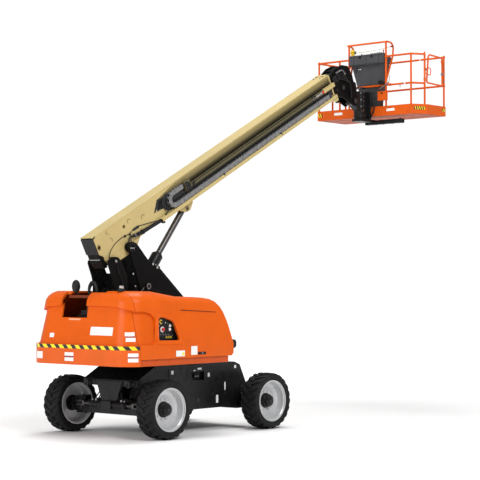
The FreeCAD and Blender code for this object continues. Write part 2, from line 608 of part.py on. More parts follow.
# cable carrier lying in the tray, with its end loop
cc = round_prism([(1156, 86), (6060, 86), (6060, 172), (1242, 172), (1242, 300), (1640, 300), (1640, 386), (1156, 386)],
                 [150, 0, 0, 64, 64, 0, 0, 150], "xz", -TRAY_Y + 12, -BASE_HW - 10)
parts["cable_carrier"] = to_boom(cc)

parts["boom_mid_tube"] = to_boom(Part.Compound(plates(MID_U0, MID_U1, MID_HW, MID_W0, MID_W1, WALL_M, WALL_M)))

parts["boom_fly_tube"] = to_boom(Part.Compound(plates(FLY_U0, FLY_U1, FLY_HW, FLY_W0, FLY_W1, WALL_F, WALL_F)))

# push tube that pulls the carrier out with the mid boom
pt = box(1720, 6250, -TRAY_Y + 22, -BASE_HW - 18, 232, 308)
pt = pt.fuse(box(1646, 1780, -TRAY_Y + 16, -BASE_HW - 14, 226, 386))
pt = pt.fuse(box(6206, 6250, -TRAY_Y + 22, -MID_HW - 0.3, 240, 300))
parts["push_tube"] = to_boom(pt.removeSplitter())

# boom nose: side plates that turn down to the levelling pin
pa = math.radians(BOOM_ANGLE)
dx, dz = NOSE_X - PIN_X, NOSE_Z - PIN_Z
NU, NW = dx * math.cos(pa) + dz * math.sin(pa), -dx * math.sin(pa) + dz * math.cos(pa)
nose = None
npts = [(6268, 60), (6268, 440), (6350, 468), (6500, 500), (6720, 478), (6890, 390), (6940, 180), (NU + 100, NW + 30), (NU + 60, NW - 85),
        (NU - 60, NW - 90), (6500, -110)]
for s in (-1, 1):
    y0, y1 = sorted((s * (FLY_HW + 0.5), s * (FLY_HW + 22)))
    p = round_prism(npts, [20, 30, 60, 60, 60, 60, 60, 60, 60, 60, 120], "xz", y0, y1)
    nose = p if nose is None else nose.fuse(p)
nose = nose.fuse(box(6440, 6470, -FLY_HW - 1, FLY_HW + 1, 60, 470))
nose = nose.fuse(prism_xz([(6470, 452), (6700, 452), (6870, 365), (6855, 345), (6695, 430), (6470, 430)], -FLY_HW - 1, FLY_HW + 1))
nose = nose.fuse(cyl_y(NU, NW, -FLY_HW - 30, FLY_HW + 30, 36))
parts["boom_nose"] = to_boom(nose.removeSplitter())

# ---------------------------------------------------------------------------
# platform carrier: levelling bracket and rotator
# ---------------------------------------------------------------------------
sp = round_prism([(NOSE_X - 80, NOSE_Z - 70), (NOSE_X + 60, NOSE_Z - 80), (ROT_X - 40, NOSE_Z - 200), (ROT_X - 40, NOSE_Z + 120),
                  (NOSE_X + 110, NOSE_Z + 200), (NOSE_X + 90, NOSE_Z + 360), (NOSE_X, NOSE_Z + 380), (NOSE_X - 60, NOSE_Z + 200)],
                 [60, 60, 0, 0, 60, 45, 45, 60], "xz", -72, 72)
sp = sp.fuse(cyl_z(ROT_X, 0, 5620, 6100, ROT_R))
sp = sp.cut(cyl_y(NOSE_X, NOSE_Z, -200, 200, 36.5))
parts["rotator_housing"] = sp.removeSplitter()

# platform mount: plates above and below the rotator and a back plate
mt = box(ROT_X - 90, 5700, -110, 110, 5560, 5612)
mt = mt.fuse(cyl_z(ROT_X, 0, 5560, 5612, 112))
mt = mt.fuse(box(ROT_X - 20, 5540, -90, 90, 6108, 6140)).fuse(cyl_z(ROT_X, 0, 6108, 6140, 100))
mt = mt.fuse(box(5500, 5546, -110, 110, 5560, 6140))
mt = mt.fuse(box(5540, 5740, -110, 110, 5560, 5600)).fuse(box(5640, 5740, -760, 110, 5520, 5600))
parts["platform_mount"] = mt.removeSplitter()

# ---------------------------------------------------------------------------
# platform
# ---------------------------------------------------------------------------
CORNER = (5551.0, -1050.0, 5830.0, -1220.0)     # slanted rear right corner


def deck_plan(d):
    """Outline of the platform moved in by d, with the slanted corner."""
    ax, ay, bx, by = CORNER
    L = math.hypot(bx - ax, by - ay)
    nx, ny = -(by - ay) / L, (bx - ax) / L
    # slanted edge moved in, then met with the two straight edges
    px, py = ax + nx * d, ay + ny * d
    tx, ty = (bx - ax) / L, (by - ay) / L
    t0 = (PF_X0 + d - px) / tx
    t1 = (-PF_Y + d - py) / ty
    return [(PF_X0 + d, PF_Y - d), (PF_X0 + d, py + ty * t0), (px + tx * t1, -PF_Y + d), (PF_X1 - d, -PF_Y + d), (PF_X1 - d, PF_Y - d)]


fl = prism_xy(deck_plan(2), PF_Z + 22, PF_Z + 30)
for xx in (PF_X0 + 60, 5950, PF_X1 - 100):
    fl = fl.fuse(box(xx, xx + 40, -PF_Y + 200, PF_Y - 2, PF_Z, PF_Z + 23))
toe = prism_xy(deck_plan(0), PF_Z + 2, PF_Z + TOE_H).cut(prism_xy(deck_plan(4), PF_Z, PF_Z + TOE_H + 1))
parts["platform_deck"] = fl.fuse(toe).removeSplitter()

Z0 = PF_Z + 31
XR, XF = PF_X0 + 24, PF_X1 - 24
YL, YR = PF_Y - 24, -PF_Y + 24
HOOP_Y = 445.0              # posts of the raised guard, each side of the console
HOOP_TOP = 7100.0
YC = -1030.0                # rear post beside the slanted corner
CPX, CPY = 5815.0, -1178.0  # post at the other end of the slanted corner


def post_z(x, y, z1, z0=None, r=RAIL_R):
    return cyl_z(x, y, Z0 if z0 is None else z0, z1, r)


# rear side, towards the boom: posts, top rail each side of the console,
# unbroken mid rail, raised guard between the middle posts
rr = [post_z(XR, YL, RAIL_TOP), post_z(XR, 680, RAIL_TOP), post_z(XR, YC, RAIL_TOP),
      cyl((XR, HOOP_Y + 5, RAIL_TOP), (0, 1, 0), RAIL_R, YL - HOOP_Y - 5), cyl((XR, YC, RAIL_TOP), (0, 1, 0), RAIL_R, -HOOP_Y - YC - 5),
      cyl((XR, YC, RAIL_MID), (0, 1, 0), RAIL_R, YL - YC),
      post_z(XR, HOOP_Y, HOOP_TOP), post_z(XR, -HOOP_Y, HOOP_TOP),
      cyl((XR, -HOOP_Y - 30, HOOP_TOP), (0, 1, 0), RAIL_R, 2 * HOOP_Y + 60)]
for s in (-1, 1):
    ya = s * (HOOP_Y + 30)
    rr.append(tube_path([(XR, ya, HOOP_TOP), (XR + 215, ya, HOOP_TOP - 10), (XR + 175, ya, 6820), (XR, s * HOOP_Y, 6330)], RAIL_R - 1.5, [0, 120, 300, 0]))
    rr.append(Part.makeSphere(RAIL_R, V(XR, ya, HOOP_TOP)))
parts["rail_rear"] = fuse(rr)
rf = [post_z(XF, YL, RAIL_TOP), post_z(XF, 400, RAIL_TOP), post_z(XF, YR, RAIL_TOP),
      cyl((XF, YR, RAIL_TOP), (0, 1, 0), RAIL_R, YL - YR), cyl((XF, YR, RAIL_MID), (0, 1, 0), RAIL_R, YL - YR)]
parts["rail_front"] = fuse(rf)
gapx = RAIL_R + 1
rl = [cyl((XR + gapx, YL, RAIL_TOP), (1, 0, 0), RAIL_R, XF - XR - 2 * gapx), cyl((XR + gapx, YL, RAIL_MID), (1, 0, 0), RAIL_R, XF - XR - 2 * gapx),
      post_z((XR + XF) / 2, YL, RAIL_TOP)]
parts["rail_left"] = fuse(rl)
# slanted corner: rails out to the corner post
cl = math.hypot(CPX - XR, CPY - YC)
cdx, cdy = (CPX - XR) / cl, (CPY - YC) / cl
rt = [post_z(CPX, CPY, RAIL_TOP)]
for zz in (RAIL_TOP, RAIL_MID):
    rt.append(cyl((XR + cdx * (gapx + 1), YC + cdy * (gapx + 1), zz), (cdx, cdy, 0), RAIL_R, cl - gapx - 1))
rt.append(Part.makeSphere(RAIL_R, V(CPX, CPY, RAIL_TOP)))
parts["rail_right"] = fuse(rt)

# gate: hoop that fills the right side between the corner post and the front post
GATE_Y = YR
GX0, GX1 = CPX + 52, XF - 60
gate = tube_path([(GX1 - 101, GATE_Y, RAIL_MID - 2), (GX0 - 12, GATE_Y, RAIL_MID + 14), (GX0 + 48, GATE_Y, RAIL_TOP + 2), (GX1, GATE_Y, RAIL_TOP - 24),
                  (GX1, GATE_Y, RAIL_MID - 4), (GX1 - 100, GATE_Y, RAIL_MID - 2)], 16, [0, 40, 60, 60, 50, 0])
parts["platform_gate"] = gate

# operator's console: wide control box over a tapering body
con = prism_xz([(XR - 42, 6690), (XR + 245, 6690), (XR + 245, 6800), (XR - 30, 6890), (XR - 42, 6880)], -418, 418)
con = con.fuse(prism_yz([(-400, 6692), (395, 6692), (250, 6240), (190, 6130), (-290, 6130), (-330, 6240)], XR + 24, XR + 175))
con = con.fuse(prism_yz([(150, 6131), (-290, 6131), (-250, PF_Z + 60), (130, PF_Z + 60)], XR + 30, XR + 150))
parts["operator_console"] = con.removeSplitter()
# small box for the manual on the rear rail
parts["manual_box"] = box(XR - 85, XR - RAIL_R - 0.5, -500, -300, 5960, 6130)

# ---------------------------------------------------------------------------
# lift cylinder
# ---------------------------------------------------------------------------
def along(s):
    """Cylinder coordinates (base pin at the origin, X along the rod) to machine coordinates."""
    s = s.copy()
    s.rotate(V(0, 0, 0), V(0, 1, 0), -CYL_DIR)
    s.translate(V(cx, 0, cz))
    return s


bar = cyl_x(0, 0, 60, BARREL_LEN - 170, BARREL_R).fuse(cyl_x(0, 0, BARREL_LEN - 180, BARREL_LEN - 30, BARREL_R + 8)).fuse(Part.makeCone(BARREL_R + 8, BARREL_R - 14, 30, V(BARREL_LEN - 30, 0, 0), V(1, 0, 0)))
bar = bar.fuse(cyl_y(0, 0, -88, 88, 88))
bar = bar.cut(cyl_y(0, 0, -200, 200, 45.5)).cut(cyl_x(0, 0, 130, BARREL_LEN + 1, ROD_R + 0.5))
parts["lift_cylinder_barrel"] = along(bar.removeSplitter())
rod = cyl_x(0, 0, ROD_IN, CYL_LEN - 45, ROD_R)
eye = cyl_y(CYL_LEN, 0, -55, 55, 57).cut(cyl_y(CYL_LEN, 0, -60, 60, 30))
parts["lift_cylinder_rod"] = along(rod.cut(cyl_y(CYL_LEN, 0, -80, 80, 50)).fuse(eye).removeSplitter())

# ---------------------------------------------------------------------------
# move so that the origin is the bottom centre of the whole, and write
# ---------------------------------------------------------------------------
bb = None
for n, s in parts.items():
    b = s.optimalBoundingBox(False)
    bb = b if bb is None else bb.united(b)
X0 = (bb.XMin + bb.XMax) / 2.0
print("box", bb.XMin, bb.XMax, bb.YMin, bb.YMax, bb.ZMin, bb.ZMax)
print("X0", X0, "pins", cx, cz, gx, gz, "nose", NU, NW)
for n, s in parts.items():
    s = s.copy()
    s.translate(V(-X0, 0, 0))
    if len(s.Solids) < 1 or not s.isValid():
        print("PROBLEM", n, len(s.Solids), s.isValid())
    s.exportStep("parts/" + n + ".step")
print(len(parts), "nodes")
for n, s in parts.items():
    print("%-24s solids %d vol %.4f m3" % (n, len(s.Solids), s.Volume / 1e9))
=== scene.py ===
import bpy, bmesh, math, json, random
from mathutils import Vector, Matrix
from mathutils.bvhtree import BVHTree


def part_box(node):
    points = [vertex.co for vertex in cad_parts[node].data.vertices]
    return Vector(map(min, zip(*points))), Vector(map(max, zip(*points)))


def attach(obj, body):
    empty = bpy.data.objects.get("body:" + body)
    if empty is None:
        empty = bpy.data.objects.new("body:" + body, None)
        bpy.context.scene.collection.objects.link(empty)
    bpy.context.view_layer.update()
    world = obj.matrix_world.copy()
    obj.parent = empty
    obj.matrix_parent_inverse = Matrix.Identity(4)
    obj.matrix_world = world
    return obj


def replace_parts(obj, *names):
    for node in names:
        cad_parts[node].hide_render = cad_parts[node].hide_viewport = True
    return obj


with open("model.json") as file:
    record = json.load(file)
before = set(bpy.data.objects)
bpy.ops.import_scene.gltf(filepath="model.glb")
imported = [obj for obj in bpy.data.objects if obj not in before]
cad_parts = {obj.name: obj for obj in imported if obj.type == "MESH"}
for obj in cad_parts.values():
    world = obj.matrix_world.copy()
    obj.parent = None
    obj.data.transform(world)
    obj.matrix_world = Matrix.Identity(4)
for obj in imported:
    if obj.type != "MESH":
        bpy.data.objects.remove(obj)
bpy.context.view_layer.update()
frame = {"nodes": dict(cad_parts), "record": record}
scene = bpy.context.scene
random.seed(7)

# ---------------------------------------------------------------- places
X0 = 2.1825                     # machine's slew axis, ahead of the row frame's origin
TH = math.radians(27.695)
CT, ST = math.cos(TH), math.sin(TH)
PX, PZ = -1.130, 3.030
CD = math.radians(51.8)
CC, CS = math.cos(CD), math.sin(CD)
CX, CZ = -1.327565, 1.584914


def M(x, y, z):
    """Machine frame to the row frame."""
    return Vector((x - X0, y, z))


def BM(u, y, w):
    """Boom frame (u along, w square to it) to the row frame."""
    return Vector((PX + u * CT - w * ST - X0, y, PZ + u * ST + w * CT))


def CM(u, y, w):
    """Lift cylinder frame to the row frame."""
    return Vector((CX + u * CC - w * CS - X0, y, CZ + u * CS + w * CC))


# ---------------------------------------------------------------- camera, floor, light
cam = bpy.data.cameras.new("Cam")
co = bpy.data.objects.new("Cam", cam)
scene.collection.objects.link(co)
ca, ce = math.radians(41.2033), math.radians(-1.4146)
cd = Vector((math.cos(ce) * math.cos(ca), math.cos(ce) * math.sin(ca), -math.sin(ce)))
co.location = (-21.2900, -18.3089, 2.5182)
co.rotation_euler = cd.to_track_quat('-Z', 'Y').to_euler()
cam.sensor_width = 36
cam.lens = 118.23
cam.clip_end = 500
scene.camera = co
scene.view_settings.view_transform = "Standard"
scene.view_settings.look = "None"

world = bpy.data.worlds.new("Studio")
scene.world = world
world.use_nodes = True
wt = world.node_tree
bg = wt.nodes["Background"]
bg.inputs[0].default_value = (1.0, 1.0, 1.0, 1)
bg.inputs[1].default_value = 0.42
# white sweep behind the object, brighter than the light it gives back
bw = wt.nodes.new("ShaderNodeBackground")
bw.inputs[0].default_value = (1.0, 1.0, 1.0, 1)
bw.inputs[1].default_value = 1.05
lp = wt.nodes.new("ShaderNodeLightPath")
ms = wt.nodes.new("ShaderNodeMixShader")
wt.links.new(lp.outputs["Is Camera Ray"], ms.inputs[0])
wt.links.new(bg.outputs[0], ms.inputs[1])
wt.links.new(bw.outputs[0], ms.inputs[2])
wt.links.new(ms.outputs[0], wt.nodes["World Output"].inputs["Surface"])


def area(name, loc, tgt, size, power, col=(1, 1, 1), size_y=None):
    li = bpy.data.lights.new(name, "AREA")
    li.energy = power
    li.color = col
    if size_y:
        li.shape = "RECTANGLE"
        li.size_y = size_y
    li.size = size
    o = bpy.data.objects.new(name, li)
    scene.collection.objects.link(o)
    o.location = loc
    o.rotation_euler = (Vector(tgt) - Vector(loc)).to_track_quat('-Z', 'Y').to_euler()
    return o


area("key_light", (-6.0, -13.0, 13.0), (-0.5, 0, 2.5), 7.0, 1500)
area("fill_light", (-15.0, 1.0, 6.0), (-2.0, 0, 2.0), 6.0, 620)
area("top_light", (1.0, 1.0, 16.0), (0.5, 0, 2.0), 9.0, 1500)

bpy.ops.mesh.primitive_plane_add(size=160, location=(0, 0, 0))
floor = bpy.context.object
floor.name = "studio_floor"

# ---------------------------------------------------------------- materials
MATS = {}


def lin(c):
    return tuple(((v / 255.0) / 12.92 if v / 255.0 <= 0.04045 else ((v / 255.0 + 0.055) / 1.055) ** 2.4) for v in c)


def material(name, col, rough=0.4, metal=0.0, coat=0.0, coat_rough=0.1, var=0.06, var_scale=2.5, rough_var=0.08,
             bump=0.05, bump_scale=180.0, grime=0.0, grime_col=(0.05, 0.045, 0.04), grime_scale=1.3, spec=0.5, wear=0.0, wear_col=(0.35, 0.35, 0.36)):
    """Procedural finish: mottled colour, uneven gloss, fine surface grain, dust and rubbed edges."""
    m = bpy.data.materials.new(name)
    m.use_nodes = True
    nt = m.node_tree
    b = nt.nodes["Principled BSDF"]
    b.inputs["Metallic"].default_value = metal
    b.inputs["Specular IOR Level"].default_value = spec
    b.inputs["Coat Weight"].default_value = coat
    b.inputs["Coat Roughness"].default_value = coat_rough
    L = nt.links.new
    tc = nt.nodes.new("ShaderNodeTexCoord")

    def noise(scale, detail=4.0, rough_=0.55):
        n = nt.nodes.new("ShaderNodeTexNoise")
        n.inputs["Scale"].default_value = scale
        n.inputs["Detail"].default_value = detail
        n.inputs["Roughness"].default_value = rough_
        L(tc.outputs["Object"], n.inputs["Vector"])
        return n

    def ramp(src, stops):
        r = nt.nodes.new("ShaderNodeValToRGB")
        L(src, r.inputs["Fac"])
        e = r.color_ramp.elements
        while len(e) > 1:
            e.remove(e[-1])
        e[0].position, e[0].color = stops[0][0], (*stops[0][1], 1)
        for p, c in stops[1:]:
            x = e.new(p)
            x.color = (*c, 1)
        return r
    n1 = noise(var_scale, 5)
    lo = tuple(max(0.0, v * (1 - var)) for v in col)
    hi = tuple(min(1.0, v * (1 + var)) for v in col)
    out = ramp(n1.outputs["Fac"], [(0.32, lo), (0.5, col), (0.7, hi)]).outputs["Color"]
    if grime > 0:
        n2 = noise(grime_scale, 7, 0.65)
        fac = ramp(n2.outputs["Fac"], [(0.45, (0, 0, 0)), (0.78, (grime, grime, grime))])
        mx = nt.nodes.new("ShaderNodeMix")
        mx.data_type = "RGBA"
        L(fac.outputs["Color"], mx.inputs[0])
        L(out, mx.inputs[6])
        mx.inputs[7].default_value = (*grime_col, 1)
        out = mx.outputs[2]
    if wear > 0:
        ge = nt.nodes.new("ShaderNodeNewGeometry")
        n3 = noise(22.0, 6, 0.7)
        wr = ramp(ge.outputs["Pointiness"], [(0.53, (0, 0, 0)), (0.62, (wear, wear, wear))])
        wn = ramp(n3.outputs["Fac"], [(0.45, (0, 0, 0)), (0.6, (1, 1, 1))])
        mu = nt.nodes.new("ShaderNodeMix")
        mu.data_type = "RGBA"
        mu.blend_type = "MULTIPLY"
        mu.inputs[0].default_value = 1.0
        L(wr.outputs["Color"], mu.inputs[6])
        L(wn.outputs["Color"], mu.inputs[7])
        mw = nt.nodes.new("ShaderNodeMix")
        mw.data_type = "RGBA"
        L(mu.outputs[2], mw.inputs[0])
        L(out, mw.inputs[6])
        mw.inputs[7].default_value = (*wear_col, 1)
        out = mw.outputs[2]
    L(out, b.inputs["Base Color"])
    n4 = noise(var_scale * 3.1, 6, 0.6)
    rr = nt.nodes.new("ShaderNodeMapRange")
    rr.inputs["From Min"].default_value = 0.3
    rr.inputs["From Max"].default_value = 0.7
    rr.inputs["To Min"].default_value = max(0.02, rough - rough_var)
    rr.inputs["To Max"].default_value = min(1.0, rough + rough_var)
    L(n4.outputs["Fac"], rr.inputs["Value"])
    L(rr.outputs["Result"], b.inputs["Roughness"])
    if bump > 0:
        n5 = noise(bump_scale, 3, 0.5)
        bp = nt.nodes.new("ShaderNodeBump")
        bp.inputs["Strength"].default_value = bump
        bp.inputs["Distance"].default_value = 0.002
        L(n5.outputs["Fac"], bp.inputs["Height"])
        L(bp.outputs["Normal"], b.inputs["Normal"])
    MATS[name] = m
    return m


ORANGE = (0.655, 0.098, 0.0035)
material("orange_gloss", ORANGE, rough=0.36, coat=0.07, coat_rough=0.2, var=0.05, rough_var=0.06, bump=0.06, bump_scale=260, spec=0.13)
material("orange_cast", ORANGE, rough=0.40, coat=0.07, coat_rough=0.2, var=0.06, rough_var=0.08, bump=0.16, bump_scale=90, spec=0.25)
# darker copy of the orange for the skirt below the hoods: painted shade
material("orange_skirt_shaded", (0.52, 0.070, 0.004), rough=0.42, coat=0.1, coat_rough=0.25, var=0.06, rough_var=0.08, bump=0.10, bump_scale=160, spec=0.22)
# dark orange for the sheet under the platform floor: painted shade
material("orange_under_shaded", (0.30, 0.042, 0.003), rough=0.5, var=0.1, spec=0.12)
material("orange_rail", (0.63, 0.088, 0.0035), rough=0.40, coat=0.04, coat_rough=0.2, var=0.07, bump=0.08, bump_scale=200, spec=0.14, wear=0.25, wear_col=(0.45, 0.22, 0.12))
# orange darkened to about a quarter: painted shade for the pressed grip line and for the beam inside the notch
material("orange_shaded", (0.16, 0.026, 0.004), rough=0.5, var=0.1, spec=0.2)
material("cream_gloss", (0.500, 0.392, 0.165), rough=0.35, coat=0.12, coat_rough=0.15, var=0.04, rough_var=0.07, bump=0.07, bump_scale=220, spec=0.3, grime=0.16, grime_col=(0.42, 0.33, 0.15), grime_scale=0.9)
# cream_side_shaded, cream_shade and cream_deep are darker copies of the boom cream: painted shade for faces that get
# less light
material("cream_side_shaded", (0.43, 0.325, 0.120), rough=0.38, coat=0.12, coat_rough=0.2, var=0.05, rough_var=0.07, bump=0.07, bump_scale=220, spec=0.3, grime=0.25, grime_col=(0.28, 0.21, 0.09), grime_scale=0.9)
material("cream_shade", (0.20, 0.155, 0.062), rough=0.45, var=0.07, bump=0.07, bump_scale=220, spec=0.25, grime=0.2, grime_col=(0.12, 0.09, 0.04), grime_scale=0.9)
material("cream_deep", (0.060, 0.048, 0.022), rough=0.5, var=0.1, bump=0.07, bump_scale=220, spec=0.2)
material("black_gloss", (0.0070, 0.0070, 0.0075), rough=0.34, var=0.25, rough_var=0.12, bump=0.10, bump_scale=120, spec=0.22, grime=0.10, grime_col=(0.03, 0.029, 0.027), wear=0.3, wear_col=(0.06, 0.06, 0.06))
material("black_deep", (0.0036, 0.0034, 0.0035), rough=0.50, var=0.25, rough_var=0.12, bump=0.10, bump_scale=120, spec=0.07, grime=0.08, grime_col=(0.02, 0.019, 0.018), wear=0.25, wear_col=(0.05, 0.05, 0.05))
material("black_satin", (0.0065, 0.0062, 0.0062), rough=0.5, var=0.25, rough_var=0.12, bump=0.12, bump_scale=120, spec=0.16, grime=0.12, grime_col=(0.028, 0.025, 0.023), wear=0.3, wear_col=(0.05, 0.05, 0.05))
material("black_plastic", (0.0105, 0.0105, 0.0110), rough=0.48, var=0.15, bump=0.22, bump_scale=420, spec=0.2)
material("rubber_hose", (0.0070, 0.0070, 0.0075), rough=0.5, var=0.2, bump=0.2, bump_scale=500, spec=0.28)
material("tyre_rubber", (0.0112, 0.0112, 0.0116), rough=0.66, var=0.25, rough_var=0.12, bump=0.35, bump_scale=160, grime=0.22, grime_col=(0.032, 0.030, 0.027), grime_scale=7.0, spec=0.16)
material("grey_shell", (0.054, 0.055, 0.059), rough=0.46, var=0.08, bump=0.30, bump_scale=520, spec=0.28)
material("grey_dark", (0.028, 0.030, 0.035), rough=0.5, var=0.08, bump=0.30, bump_scale=520, spec=0.25)
material("rim_silver", (0.58, 0.585, 0.595), rough=0.34, metal=0.30, coat=0.2, var=0.05, rough_var=0.08, bump=0.10, bump_scale=150, spec=0.4, grime=0.30, grime_col=(0.20, 0.195, 0.19), grime_scale=4.0)
material("chrome_rod", (0.115, 0.110, 0.108), rough=0.36, metal=1.0, var=0.03, rough_var=0.05, bump=0.03, bump_scale=700)
material("zinc", (0.40, 0.40, 0.40), rough=0.34, metal=0.95, var=0.12, var_scale=30, rough_var=0.1, bump=0.08, bump_scale=400)
material("steel_dark", (0.075, 0.075, 0.078), rough=0.42, metal=0.8, var=0.2, var_scale=12, bump=0.12, bump_scale=220)
material("grey_steel", (0.20, 0.20, 0.205), rough=0.45, metal=0.5, var=0.14, var_scale=9, bump=0.12, bump_scale=220, grime=0.3, grime_col=(0.08, 0.075, 0.07), grime_scale=5)
# tan_tube_shaded is the push tube's tan darkened to olive: painted shade for the tube lying in the trough; tan_light is
# the unshaded tan
material("tan_tube_shaded", (0.098, 0.084, 0.040), rough=0.42, var=0.10, bump=0.1, spec=0.25, grime=0.35, grime_col=(0.06, 0.052, 0.032), grime_scale=3)
material("tan_light", (0.42, 0.345, 0.16), rough=0.42, var=0.08, bump=0.1, spec=0.25, grime=0.2, grime_col=(0.2, 0.16, 0.08), grime_scale=3)
material("tan_edge_shade", (0.030, 0.026, 0.013), rough=0.5, var=0.1, bump=0.1, spec=0.2)
material("chain_grey", (0.195, 0.192, 0.195), rough=0.40, metal=0.15, var=0.2, var_scale=14, bump=0.15, bump_scale=300, spec=0.4)
material("hazard_yellow", (0.86, 0.66, 0.01), rough=0.35, var=0.04, bump=0.03)
# black for hazard bars and pads, also used as painted shade inside holes and in the boom's trough
material("hazard_black_and_shade", (0.012, 0.012, 0.012), rough=0.35, var=0.1, bump=0.03)
material("label_white", (0.80, 0.80, 0.78), rough=0.38, var=0.03, bump=0.02)
material("label_red", (0.36, 0.028, 0.02), rough=0.38, var=0.05, bump=0.02)
material("label_faint", (0.78, 0.36, 0.20), rough=0.42, var=0.05, bump=0.02)
material("label_grey", (0.42, 0.42, 0.40), rough=0.45, var=0.06, bump=0.02)
material("yellow_plastic", (0.85, 0.60, 0.01), rough=0.4, var=0.05, bump=0.1, bump_scale=400)
material("red_plastic", (0.55, 0.012, 0.01), rough=0.35, var=0.05, bump=0.05)
material("green_plastic", (0.02, 0.22, 0.04), rough=0.35, var=0.05, bump=0.05)
material("cable_pale", (0.62, 0.62, 0.48), rough=0.4, var=0.08, bump=0.2, bump_scale=700)
material("lens_clear", (0.75, 0.75, 0.76), rough=0.18, coat=0.4, var=0.03, bump=0.05)
material("engine_iron", (0.035, 0.035, 0.036), rough=0.6, metal=0.3, var=0.25, bump=0.3, bump_scale=90)
material("studio_floor", (0.93, 0.93, 0.93), rough=0.75, var=0.012, var_scale=0.5, rough_var=0.05, bump=0.02, bump_scale=30, spec=0.2)
# the sweep brightens away from the object until it meets the white behind
fm = MATS["studio_floor"].node_tree
ft = fm.nodes.new("ShaderNodeTexCoord")
fv = fm.nodes.new("ShaderNodeVectorMath")
fv.operation = "LENGTH"
fr = fm.nodes.new("ShaderNodeMapRange")
fr.inputs["From Min"].default_value = 4.0
fr.inputs["From Max"].default_value = 13.0
fr.inputs["To Min"].default_value = 0.0
fr.inputs["To Max"].default_value = 0.66
fm.links.new(ft.outputs["Object"], fv.inputs[0])
fm.links.new(fv.outputs["Value"], fr.inputs["Value"])
fm.nodes["Principled BSDF"].inputs["Emission Color"].default_value = (1, 1, 1, 1)
fm.links.new(fr.outputs["Result"], fm.nodes["Principled BSDF"].inputs["Emission Strength"])
floor.data.materials.append(MATS["studio_floor"])




def shade_down(name, stops, rough=0.42):
    """Finish whose colour falls off square to the boom, towards the trough: painted shade."""
    m = material(name, stops[-1][1], rough=rough, var=0.03, bump=0.07, bump_scale=220, spec=0.22)
    nt = m.node_tree
    tc = nt.nodes.new("ShaderNodeTexCoord")
    dp = nt.nodes.new("ShaderNodeVectorMath")
    dp.operation = "DOT_PRODUCT"
    dp.inputs[1].default_value = (-ST, 0.0, CT)
    mr = nt.nodes.new("ShaderNodeMapRange")
    k = (X0 - PX) * ST + PZ * CT
    w0, w1 = stops[0][0], stops[-1][0]
    mr.inputs["From Min"].default_value = w0 + k
    mr.inputs["From Max"].default_value = w1 + k
    cr = nt.nodes.new("ShaderNodeValToRGB")
    e = cr.color_ramp.elements
    while len(e) > 1:
        e.remove(e[-1])
    e[0].position, e[0].color = 0.0, (*stops[0][1], 1)
    for w, c in stops[1:]:
        x = e.new((w - w0) / (w1 - w0))
        x.color = (*c, 1)
    nt.links.new(tc.outputs["Object"], dp.inputs[0])
    nt.links.new(dp.outputs["Value"], mr.inputs["Value"])
    nt.links.new(mr.outputs["Result"], cr.inputs["Fac"])
    nt.links.new(cr.outputs["Color"], nt.nodes["Principled BSDF"].inputs["Base Color"])
    return m


# cream fading to near black towards the trough: painted shade
CG = (0.490, 0.384, 0.161)
shade_down("trough_shade", [(w, tuple(v * f for v in CG)) for w, f in ((0.285, 0.012), (0.315, 0.03), (0.345, 0.065), (0.372, 0.19), (0.400, 0.40), (0.440, 0.50), (0.462, 0.66), (0.479, 1.0))])


